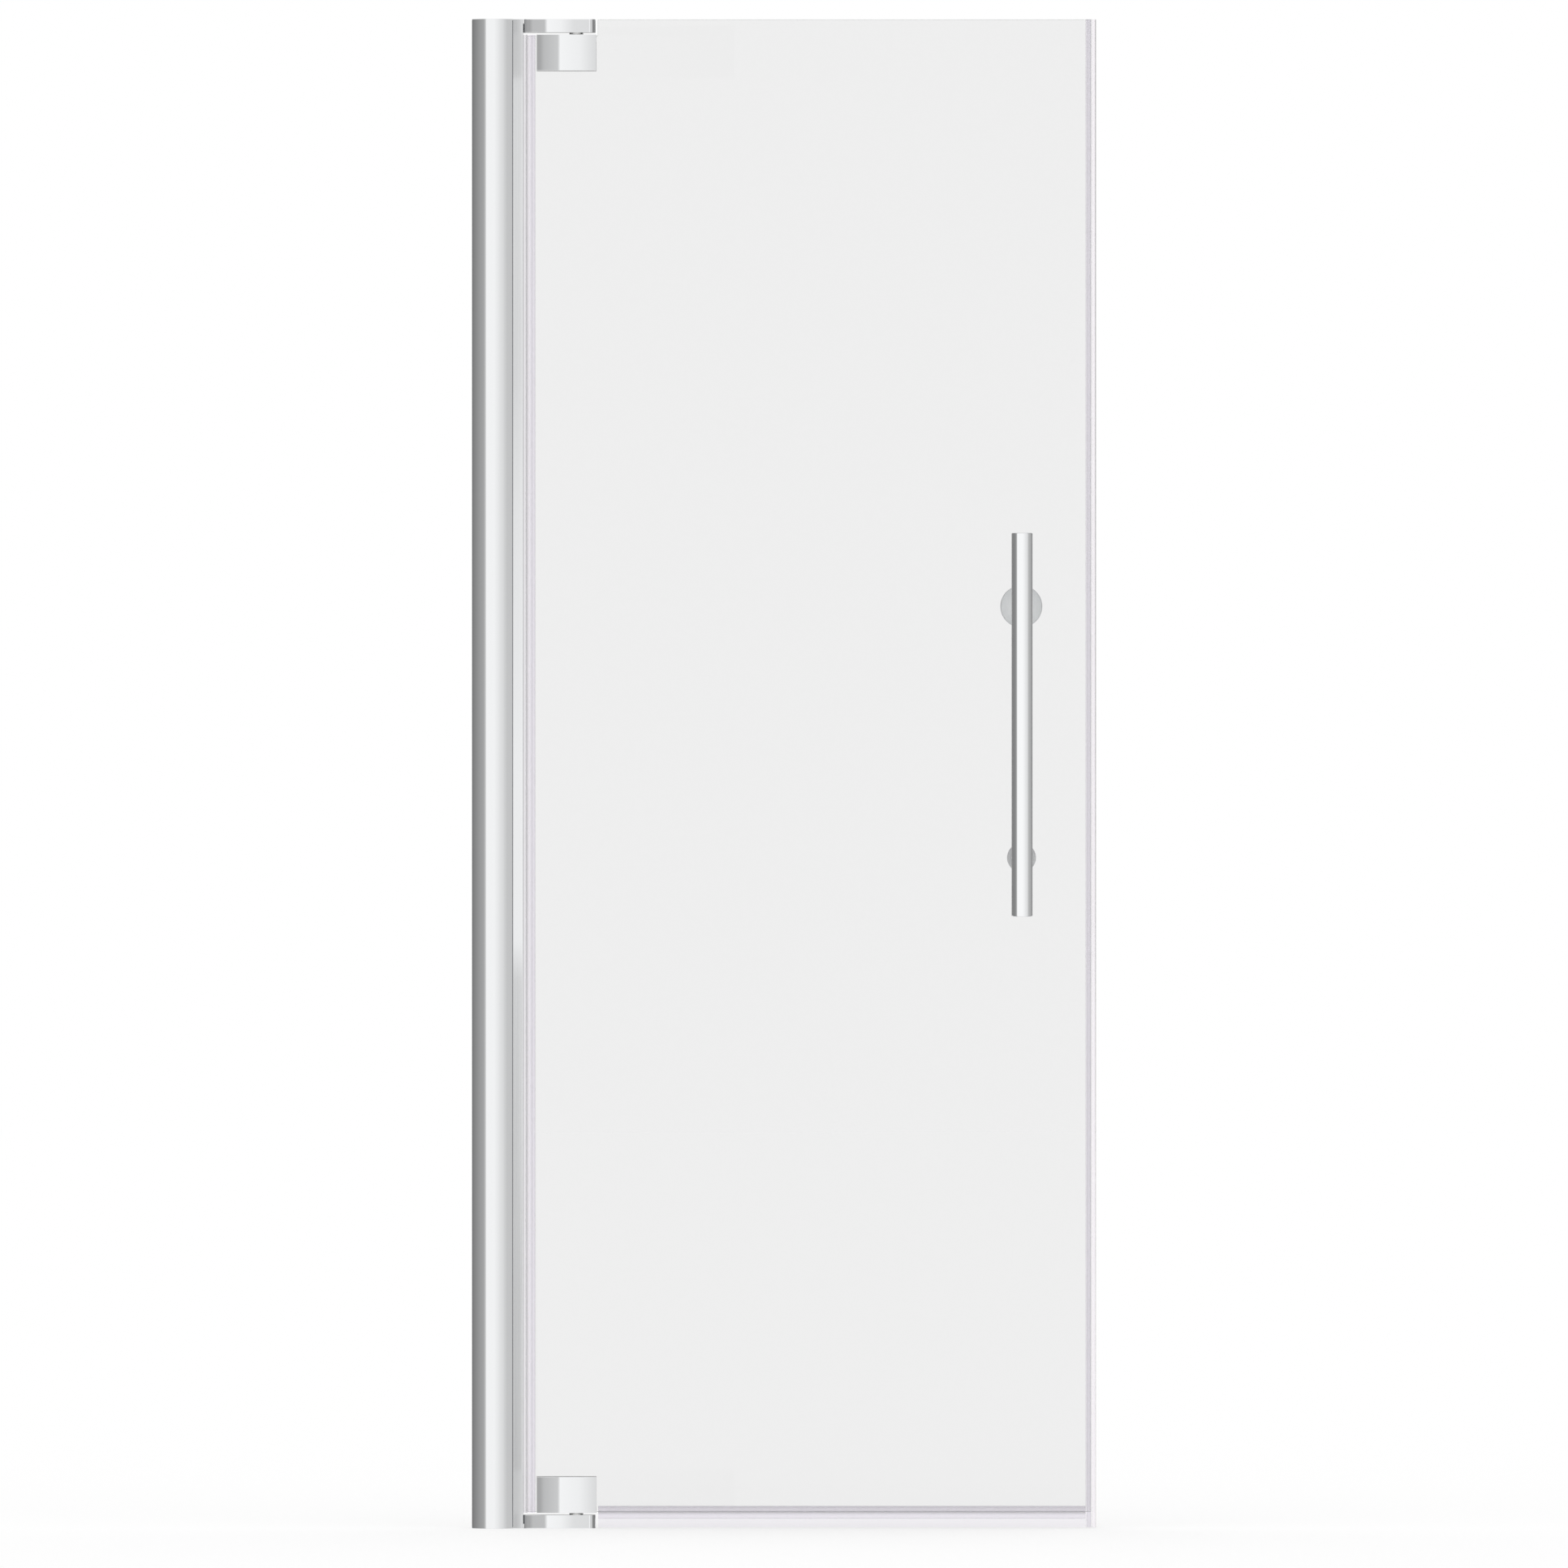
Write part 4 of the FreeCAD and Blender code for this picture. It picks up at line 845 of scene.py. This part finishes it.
def makeGlass():
    shape = glassShape
    low, high = spanOf("glass_panel")
    turn, notchTurn = shape["cornerRound"], shape["notchRound"]
    left, right, arm = shape["notchLeft"], shape["notchRight"], shape["armNotchX"]
    hingeTop = shape["hingeTop"]
    notchTop, notchBottom = hingeTop - shape["notchDepth"], low.z + shape["notchDepth"]
    outline = roundedLoop([
        (low.x, hingeTop, turn), (left, hingeTop, turn), (left, notchTop, notchTurn),
        (right, notchTop, notchTurn), (right, hingeTop, turn), (arm, hingeTop, turn), (arm, high.z, turn),
        (high.x, high.z, turn), (high.x, low.z, turn), (right, low.z, turn),
        (right, notchBottom, notchTurn), (left, notchBottom, notchTurn), (left, low.z, turn),
        (low.x, low.z, turn),
    ], shape["roundSteps"])
    holes = [circleLoop((shape["handleX"], height), shape["holeRadius"])
             for height in shape["handleHeights"]]
    arris = shape["arris"]
    piece = objectFrom("glassPanel", extruded(
        [outline, *holes], low.y, high.y, facing, lowTurn=arris, highTurn=arris, steps=2))
    paint(piece, glass, glassEdge, lambda at, way: abs(way.y) < 0.99)
    fit(piece, "door", "clear_glass", "glass_panel")


sealShape = {
    "crease": 40,
    "play": 0.1,
    "wall": 1.1,
    "base": 1.3,
    "beadHalf": 1.3,
    "beadHeight": 0.3,
    "lipRound": 0.2,
    "lipTaper": 0.3,
    "heelRound": 0.15,
    "hingeBeadX": 72.7,
    "finRoot": 1.2,
    "finTip": 0.6,
    "strikeBeadX": 746.2,
    "bulbHalf": 3.6,
    "bulbWall": 0.8,
    "bulbFoot": 0.2,
    "bulbSteps": 24,
    "sweepBeadZ": 24.6,
    "wipeRoot": 0.6,
    "wipeTip": 0.4,
    "tipRound": 0.1,
    "dripTip": 1.1,
    "dripDrop": 7.0,
    "dripRound": 0.3,
    "dripTurn": 0.8,
}


def bead(at, outer):
    # a small rib that stiffens a leg
    half, proud = sealShape["beadHalf"], outer + sealShape["beadHeight"]
    return [(at - half, outer), (at - half / 2, proud), (at + half / 2, proud), (at + half, outer)]


def mirrored(points):
    # the same outline on the other side of the glass
    return [(p[0], -p[1], *p[2:]) for p in reversed(points)]


def legFaces():
    # how far the inner and the outer face of a leg stand from the middle of the glass
    shape = sealShape
    inner = spanOf("glass_panel")[1].y + shape["play"]
    return inner, inner + shape["wall"] - shape["beadHeight"]


def makeSeal(name, node, loops, material, place=standing):
    low, high = spanOf(node)
    span = (low.x, high.x) if place is lying else (low.z, high.z)
    piece = objectFrom(name, extruded(loops, *span, place))
    fit(piece, "door", "clear_vinyl", node, material=material, crease=sealShape["crease"])


def makeHingeSeal():
    shape = sealShape
    low, high = spanOf("hinge_side_seal")
    inner, outer = legFaces()
    inside = spanOf("glass_panel")[0].x - shape["play"]
    base = inside - shape["base"]
    lip, heel = shape["lipRound"], shape["heelRound"]
    half = [
        (low.x, shape["finTip"], lip), (base, shape["finRoot"], lip), (base, outer, heel),
        *bead(shape["hingeBeadX"], outer), (high.x, outer - shape["lipTaper"], lip), (high.x, inner, lip),
        (inside, inner, lip),
    ]
    loop = roundedLoop(half + mirrored(half))
    makeSeal("hingeSideSeal", "hinge_side_seal", [loop], hingeVinyl)


def makeStrikeSeal():
    shape = sealShape
    low, high = spanOf("strike_side_seal")
    inner, outer = legFaces()
    inside = spanOf("glass_panel")[1].x + shape["play"]
    base = inside + shape["base"]
    reach, half = high.x - base, shape["bulbHalf"]
    lip, wall, foot = shape["lipRound"], shape["bulbWall"], shape["bulbFoot"]
    leg = [
        (low.x, inner, lip), (low.x, outer - shape["lipTaper"], lip), *bead(shape["strikeBeadX"], outer),
        (base, outer, shape["heelRound"]), (base, half),
    ]
    turns = [math.pi * i / shape["bulbSteps"] for i in range(shape["bulbSteps"] + 1)]
    bulb = [(base + reach * math.sin(turn), half * math.cos(turn)) for turn in turns[1:-1]]
    hollow = [(base + foot + (reach - wall - foot) * math.sin(turn), (half - wall) * math.cos(turn))
              for turn in turns]
    channel = [(inside, -inner, lip), (inside, inner, lip)]
    loop = roundedLoop(leg + bulb + mirrored(leg) + channel)
    makeSeal("strikeSideSeal", "strike_side_seal", [loop, hollow], strikeVinyl)


def makeSweep():
    # a blade wipes the threshold, and a drip rail behind it throws the water back
    shape = sealShape
    low, high = spanOf("bottom_sweep")
    inner, outer = legFaces()
    inside = spanOf("glass_panel")[0].z - shape["play"]
    base = inside - shape["base"]
    lip, heel, drop = shape["lipRound"], shape["heelRound"], shape["dripRound"]
    root, tip, rail = shape["wipeRoot"], shape["wipeTip"], shape["dripTip"]
    shoulder = outer - shape["lipTaper"]
    ribs = [(out, z) for z, out in bead(shape["sweepBeadZ"], outer)]
    drip = base - lip - shape["dripDrop"]
    loop = roundedLoop([
        (-inner, high.z, lip), (-shoulder, high.z, lip), *[(-y, z) for y, z in reversed(ribs)],
        (-outer, base, heel), (-root, base, heel), (-tip, low.z, shape["tipRound"]),
        (tip, low.z, shape["tipRound"]), (root, base, heel), (outer - rail, base),
        (high.y - rail, drip, drop), (high.y, drip + 2 * drop, drop), (outer, inside, shape["dripTurn"]),
        *ribs, (shoulder, high.z, lip), (inner, high.z, lip), (inner, inside, lip), (-inner, inside, lip),
    ])
    makeSeal("bottomSweep", "bottom_sweep", [loop], sweepVinyl, lying)


makeGlass()
makeHingeSeal()
makeStrikeSeal()
makeSweep()
print("glass and seals made")


# pins, screws and handle

pinShape = {
    "radius": 4.5,
    "collarRadius": 8.45,
    "collarThickness": 1.9,
    "collarRound": 0.3,
    "reach": 26.0,
    "chamfer": 0.4,
    "socketRadius": 2.6,
    "socketDepth": 4.5,
}


def makePin(name, node, outer):
    # heights run outwards from the arm's face over the clamp
    shape = pinShape
    low, high = spanOf(node)
    pin, collar, chamfer = shape["radius"], shape["collarRadius"], shape["chamfer"]
    turn = shape["collarRound"]
    face = low.z + shape["reach"] if outer > 0 else high.z - shape["reach"]
    top = high.z - face if outer > 0 else face - low.z
    step = shape["collarThickness"]
    profile = [
        (0, -shape["reach"]), (pin - 2 * chamfer, -shape["reach"]), (pin, 2 * chamfer - shape["reach"]),
        (pin, -step), (collar - turn, -step), (collar - turn * 0.3, -step + turn * 0.3),
        (collar, -step + turn), (collar, 0), (pin, 0), (pin, top - chamfer), (pin - chamfer, top), (0, top),
    ]
    origin = ((low.x + high.x) / 2, (low.y + high.y) / 2, face)
    piece = objectFrom(name, lathed(profile, origin, (0, 0, outer)))
    socket = circleLoop(origin[:2], shape["socketRadius"], 6)
    levels = sorted((face + outer * (top + over), face + outer * (top - shape["socketDepth"])))
    cutAway(piece, extruded([socket], *levels))
    fit(piece, "post", "stainless_steel", node, material=polishedSteel)


def newTree(name, values):
    # a Geometry Nodes tree with an input for each named value, and one geometry output
    tree = bpy.data.node_groups.new(name, "GeometryNodeTree")
    tree.interface.new_socket("Geometry", in_out="OUTPUT", socket_type="NodeSocketGeometry")
    kinds = {float: "Float", int: "Int", tuple: "Vector"}
    for label, value in values.items():
        kind = kinds.get(type(value), "Material")
        tree.interface.new_socket(label, in_out="INPUT", socket_type="NodeSocket" + kind)
    return tree, addNode(tree, "NodeGroupInput").outputs


def endTree(tree, geometry, material):
    real = addNode(tree, "GeometryNodeRealizeInstances", {0: geometry})
    coloured = addNode(tree, "GeometryNodeSetMaterial", {"Geometry": real, "Material": material})
    addNode(tree, "NodeGroupOutput", {0: coloured})


def grownFrom(name, makeTree, values):
    # runs the tree on an empty mesh and keeps the result as a plain mesh, brought to metres
    tree = makeTree(values)
    piece = objectFrom(name, bmesh.new())
    grow = piece.modifiers.new("grow", "NODES")
    grow.node_group = tree
    for item in tree.interface.items_tree:
        if item.in_out == "INPUT":
            grow[item.identifier] = values[item.name]
    settled(piece)
    piece.data.transform(Matrix.Scale(mm, 4))
    return piece


def addDisc(tree, radius, depth, level=0.0, side=1, sides=48):
    # a cylinder along Z that stands on the level, or hangs from it where side is -1
    disc = addNode(tree, "GeometryNodeMeshCylinder", {"Vertices": sides, "Radius": radius, "Depth": depth})
    middle = addNode(tree, "ShaderNodeMath", {0: depth, 1: side / 2, 2: level}, operation="MULTIPLY_ADD")
    return movedUp(tree, disc, middle)


def movedUp(tree, mesh, height):
    place = addNode(tree, "ShaderNodeCombineXYZ", {"Z": height})
    return addNode(tree, "GeometryNodeTransform", {"Geometry": mesh, "Translation": place})


def addScrew(tree, inputs):
    # a headed screw that points along -Z, with its head above zero and a hex socket in it
    headRadius, headHeight, chamfer = (inputs[name] for name in ("Head Radius", "Head Height", "Chamfer"))
    head = addDisc(tree, headRadius, headHeight)
    topRadius = addNode(tree, "ShaderNodeMath", {0: headRadius, 1: chamfer}, operation="SUBTRACT")
    crown = addNode(tree, "GeometryNodeMeshCone", {
        "Vertices": 48, "Radius Bottom": headRadius, "Radius Top": topRadius, "Depth": chamfer})
    crown = movedUp(tree, crown, headHeight)
    body = addNode(tree, "GeometryNodeMeshBoolean", {"Mesh 2": head}, operation="UNION", solver="EXACT")
    tree.links.new(crown.outputs[0], body.inputs["Mesh 2"])
    bottom = addNode(tree, "ShaderNodeMath", {
        0: headHeight, 1: inputs["Socket Depth"]}, operation="SUBTRACT")
    socket = addDisc(tree, inputs["Socket Radius"], headHeight, bottom, sides=6)
    carved = addNode(tree, "GeometryNodeMeshBoolean", {"Mesh 1": body, "Mesh 2": socket},
                     operation="DIFFERENCE", solver="EXACT")
    shank = addDisc(tree, inputs["Shank Radius"], inputs["Shank Length"], side=-1, sides=32)
    whole = addNode(tree, "GeometryNodeJoinGeometry", {0: carved})
    tree.links.new(shank.outputs[0], whole.inputs[0])
    return whole


facingBack = (-math.pi / 2, 0, 0)


def adjustmentTree(values):
    # one washered screw on every slot of the post
    tree, inputs = newTree("adjustmentRow", values)
    screw = addScrew(tree, inputs)
    washer = addDisc(tree, inputs["Washer Radius"], inputs["Washer Height"], side=-1)
    tree.links.new(washer.outputs[0], screw.inputs[0])
    step = addNode(tree, "ShaderNodeCombineXYZ", {"Z": inputs["Pitch"]})
    line = addNode(tree, "GeometryNodeMeshLine", {
        "Count": inputs["Count"], "Start Location": inputs["First"], "Offset": step})
    row = addNode(tree, "GeometryNodeInstanceOnPoints", {
        "Points": line, "Instance": screw, "Rotation": facingBack})
    endTree(tree, row, inputs["Material"])
    return tree


def clampScrewTree(values):
    # a two by two pattern on each hinge, repeated from the lower hinge to the upper one
    tree, inputs = newTree("clampPattern", values)
    screw = addScrew(tree, inputs)
    steps = [addNode(tree, "ShaderNodeCombineXYZ", {axis: inputs[label]})
             for axis, label in (("X", "Across"), ("Z", "Apart"), ("Z", "Hinge Distance"))]
    current, turn = screw, facingBack
    for number, step in enumerate(steps):
        start = {"Start Location": inputs["First"]} if number == 2 else {}
        line = addNode(tree, "GeometryNodeMeshLine", {"Count": 2, "Offset": step, **start})
        current = addNode(tree, "GeometryNodeInstanceOnPoints", {
            "Points": line, "Instance": current, "Rotation": turn})
        turn = (0, 0, 0)
    endTree(tree, current, inputs["Material"])
    return tree


adjustmentScrewShape = {
    "Head Radius": 4.0, "Head Height": 2.2, "Chamfer": 0.4, "Socket Radius": 1.7, "Socket Depth": 1.5,
    "Shank Radius": 2.0, "Shank Length": 5.9, "Washer Radius": 5.0, "Washer Height": 1.0, "Count": 4,
    "Pitch": 500.0, "First": (32.0, 14.3, 164.4),
}
clampScrewShape = {
    "Head Radius": 4.25, "Head Height": 4.6, "Chamfer": 0.4, "Socket Radius": 2.3, "Socket Depth": 2.5,
    "Shank Radius": 2.45, "Shank Length": 15.5, "Across": 42.7, "Apart": 13.5, "Hinge Distance": 1758.1,
    "First": (98.5, 10.0, 28.6),
}


def makeScrews(name, makeTree, shape, body, *replaced):
    piece = grownFrom(name, makeTree, {**shape, "Material": stainless})
    fit(piece, body, "stainless_steel", *replaced)


handleShape = {
    "capThickness": 2.0,
    "capRound": 1.0,
    "rings": 24,
    "sides": 128,
}


def tubeTree(values):
    # a circle swept along the line between two ends
    tree, inputs = newTree("sweptBar", values)
    line = addNode(tree, "GeometryNodeCurvePrimitiveLine", {"Start": inputs["From"], "End": inputs["To"]})
    even = addNode(tree, "GeometryNodeResampleCurve", {"Curve": line, "Count": inputs["Rings"]})
    circle = addNode(tree, "GeometryNodeCurvePrimitiveCircle", {
        "Resolution": inputs["Sides"], "Radius": inputs["Radius"]})
    swept = addNode(tree, "GeometryNodeCurveToMesh", {
        "Curve": even, "Profile Curve": circle, "Fill Caps": True})
    endTree(tree, swept, inputs["Material"])
    return tree


def makeHandle():
    shape = handleShape
    low, high = spanOf("handle_bar")
    centre = (low + high) / 2
    radius = (high.x - low.x) / 2
    piece = grownFrom("handleBar", tubeTree, {
        "From": (centre.x, centre.y, low.z), "To": (centre.x, centre.y, high.z), "Radius": radius,
        "Rings": shape["rings"], "Sides": shape["sides"], "Material": chrome})
    fit(piece, "door", "polished_chrome", "handle_bar")
    thick, turn = shape["capThickness"], shape["capRound"]
    profile = [(0, 0), (radius, 0), (radius, thick - turn)]
    profile += arcPoints((radius - turn, thick - turn), turn, 0, 90, 6)[1:] + [(0, thick)]
    caps = [lathed(profile, (centre.x, centre.y, level), (0, 0, way), shape["sides"])
            for level, way in ((low.z, -1), (high.z, 1))]
    fit(objectFrom("handleEndCaps", joined(caps)), "door", "polished_chrome", "handle_end_caps")


for endName, end in ends.items():
    makePin(endName + "PivotPin", endName + "_pivot_pin", end)
makeScrews("adjustmentScrews", adjustmentTree, adjustmentScrewShape, "post",
           "adjustment_screws", "adjustment_washers")
makeScrews("clampScrews", clampScrewTree, clampScrewShape, "door", "clamp_screws")
makeHandle()
print("pins, screws and handle made")


# studio

studio = {
    # grey of the surroundings by the bearing of a mirrored ray: 0 is the camera's side, and 90 the
    # side of the free edge
    "bearings": {
        -180: 190, -150: 150, -125: 127, -107: 127, -93: 144, -64: 172, -52: 253, 5: 253, 55: 230, 63: 204,
        72: 202, 78: 182, 90: 173, 114: 159, 132: 152, 150: 160, 180: 190,
    },
    "overhead": "#E6E6E6",
    "overheadSpan": (0.6, 0.95),
    "floorColour": "#FFFFFF",
    "floorWhite": 0.6,
    "floorHalf": 30.0,
}


def buildWorld():
    # white for the camera, for diffuse light and through the glass; graded only where a surface
    # mirrors it
    world = bpy.data.worlds.new("whiteStudio")
    bpy.context.scene.world = world
    world.use_nodes = True
    tree = world.node_tree
    tree.nodes.clear()
    direction = addNode(tree, "ShaderNodeTexCoord").outputs["Generated"]
    axes = addNode(tree, "ShaderNodeSeparateXYZ", {0: direction}).outputs
    ahead = addNode(tree, "ShaderNodeMath", {0: axes[1], 1: -1.0}, operation="MULTIPLY")
    bearing = addNode(tree, "ShaderNodeMath", {0: axes[0], 1: ahead}, operation="ARCTAN2")
    along = addNode(tree, "ShaderNodeMapRange", {
        "Value": bearing, "From Min": -math.pi, "From Max": math.pi})
    ramp = addNode(tree, "ShaderNodeValToRGB", {0: along})
    setStops(ramp, studio["bearings"], -180, 180)
    steepness = addNode(tree, "ShaderNodeMath", {0: axes[2]}, operation="ABSOLUTE")
    lifted = addNode(tree, "ShaderNodeMapRange", {
        "Value": steepness, "From Min": studio["overheadSpan"][0], "From Max": studio["overheadSpan"][1]},
        interpolation_type="SMOOTHSTEP")
    mirroredSky = addNode(tree, "ShaderNodeMix", {
        "Factor": lifted, 6: ramp, 7: linearColour(studio["overhead"])}, data_type="RGBA")
    path = addNode(tree, "ShaderNodeLightPath").outputs
    bounced = addNode(tree, "ShaderNodeMath", {0: path["Glossy Depth"], 1: 0.5}, operation="GREATER_THAN")
    inMetal = addNode(tree, "ShaderNodeMath", {0: bounced, 1: path["Is Diffuse Ray"]}, operation="SUBTRACT")
    seen = addNode(tree, "ShaderNodeMix", {
        "Factor": inMetal, 6: (1, 1, 1, 1), 7: mirroredSky.outputs[2]}, data_type="RGBA")
    sky = addNode(tree, "ShaderNodeBackground", {"Color": seen.outputs[2], "Strength": 1.0})
    addNode(tree, "ShaderNodeOutputWorld", {"Surface": sky})


def flatMesh(name, corners, material):
    mesh = bpy.data.meshes.new(name)
    mesh.from_pydata(corners, [], [range(len(corners))])
    mesh.materials.append(material)
    plane = bpy.data.objects.new(name, mesh)
    bpy.context.scene.collection.objects.link(plane)
    return plane


def buildFloor():
    # a plain pale floor; towards the camera part of it is plain white, so the shadow stays faint
    material, tree = emptyMaterial("paleFloor")
    pale = addNode(tree, "ShaderNodeBsdfPrincipled", {
        "Base Color": linearColour(studio["floorColour"]), "Roughness": 1.0, "Specular IOR Level": 0.0})
    white = addNode(tree, "ShaderNodeEmission", {"Color": (1, 1, 1, 1), "Strength": 1.0})
    path = addNode(tree, "ShaderNodeLightPath").outputs
    direct = addNode(tree, "ShaderNodeMath", {
        0: path["Is Camera Ray"], 1: path["Is Transmission Ray"]}, operation="MAXIMUM")
    share = addNode(tree, "ShaderNodeMath", {0: direct, 1: studio["floorWhite"]}, operation="MULTIPLY")
    mixed = addNode(tree, "ShaderNodeMixShader", {0: share, 1: pale, 2: white})
    addNode(tree, "ShaderNodeOutputMaterial", {"Surface": mixed})
    half = studio["floorHalf"]
    corners = [(-half, -half, 0), (half, -half, 0), (half, half, 0), (-half, half, 0)]
    flatMesh("floor", corners, material).visible_glossy = False


# Cards seen only where a surface mirrors them, each on the side that it faces. Each gives its box in
# millimetres, the axis its grey runs along and the name of its greys.
acrossTheHinges = {"y": -1500, "x": (-200, 315), "axis": "X"}
cardLooks = {
    "clampCardTop": {**acrossTheHinges, "z": (1806, 1862.5), "greys": "clamp"},
    "clampCardBottom": {**acrossTheHinges, "z": (-32.5, 24), "greys": "clamp"},
    "armCardTop": {**acrossTheHinges, "z": (1862.5, 1895), "greys": "arm"},
    "armCardBottom": {**acrossTheHinges, "z": (-65, -32.5), "greys": "arm"},
    "postCard": {"y": -1490, "x": (25, 47), "z": (24, 1806), "axis": "Z", "greys": "post"},
    "jambFlag": {"y": -125, "x": (5, 48), "z": (-10, 1840), "axis": "X", "greys": "jambFlag"},
}
besideTheArms = {
    "armEnd": {"x": 156, "y": (-52, 10), "axis": "Y", "faces": -1},
    "armRoot": {"x": 61.5, "y": (-130, -13), "axis": "Y"},
}
for greysName, look in besideTheArms.items():
    for endName, height in (("Top", (1811, 1836)), ("Bottom", (-8, 17.8))):
        cardLooks[greysName + endName] = {**look, "z": height, "greys": greysName}
besideTheBar = {"z": (690, 1260), "axis": "Y"}
cardLooks["barLeft"] = {**besideTheBar, "x": 560, "y": (-116, -12), "greys": "barLeft"}
cardLooks["barRight"] = {**besideTheBar, "x": 780, "y": (-235, -8), "greys": "barRight", "faces": -1}
# greys (0 to 255) by position in millimetres
cardGreys = {
    "clamp": {-200: 150, -80: 170, -52: 190, 41: 205, 57: 249, 191: 243, 303: 221},
    "arm": {-200: 160, -11: 168, 0: 191, 40: 193, 50: 250, 97: 245, 141: 226, 303: 220},
    "post": {24: 194, 604: 211, 650: 214, 700: 246, 925: 246, 1247: 235, 1428: 221, 1806: 223},
    "jambFlag": {5: 253, 36: 253, 48: 248},
    "armEnd": {-52: 208, -24: 220, -19: 197, -11: 128, 10: 128},
    "armRoot": {-130: 170, -13: 158},
    "barLeft": {-116: 165, -75: 136, -12: 129},
    "barRight": {-235: 238, -134: 228, -86: 184, -43: 176, -8: 165},
}


def buildCard(name, look):
    material, tree = emptyMaterial(name)
    place = addNode(tree, "ShaderNodeTexCoord").outputs["Object"]
    shade = rampAlong(tree, place, look["axis"], cardGreys[look["greys"]])
    glow = addNode(tree, "ShaderNodeEmission", {"Color": shade, "Strength": 1.0})
    behind = addNode(tree, "ShaderNodeNewGeometry").outputs["Backfacing"]
    through = addNode(tree, "ShaderNodeBsdfTransparent")
    shown = addNode(tree, "ShaderNodeMixShader", {0: behind, 1: glow, 2: through})
    addNode(tree, "ShaderNodeOutputMaterial", {"Surface": shown})
    x, y, (bottom, top) = look["x"], look["y"], look["z"]
    if look["axis"] == "Y":
        corners = [(x, y[0], bottom), (x, y[1], bottom), (x, y[1], top), (x, y[0], top)]
    else:
        corners = [(x[1], y, bottom), (x[0], y, bottom), (x[0], y, top), (x[1], y, top)]
    if look.get("faces") == -1:
        corners.reverse()
    card = flatMesh(name, [tuple(v * mm for v in corner) for corner in corners], material)
    for ray in ("camera", "diffuse", "transmission", "shadow"):
        setattr(card, "visible_" + ray, False)


view = {"frameWidth": 1.9009, "middle": (0.3782, 0.902), "lens": 500.0, "sensor": 36.0, "farthest": 200.0}


def buildCamera():
    # The photograph is square on, so a very long lens stands far back.
    data = bpy.data.cameras.new("camera")
    data.lens = view["lens"]
    data.sensor_width = view["sensor"]
    data.clip_end = view["farthest"]
    camera = bpy.data.objects.new("camera", data)
    bpy.context.scene.collection.objects.link(camera)
    distance = view["frameWidth"] * view["lens"] / view["sensor"]
    camera.location = (view["middle"][0], -distance, view["middle"][1])
    camera.rotation_euler = (math.pi / 2, 0, 0)
    bpy.context.scene.camera = camera


buildWorld()
buildFloor()
for cardName, cardLook in cardLooks.items():
    buildCard(cardName, cardLook)
buildCamera()
bpy.context.scene.view_settings.view_transform = "Standard"
print("studio built")
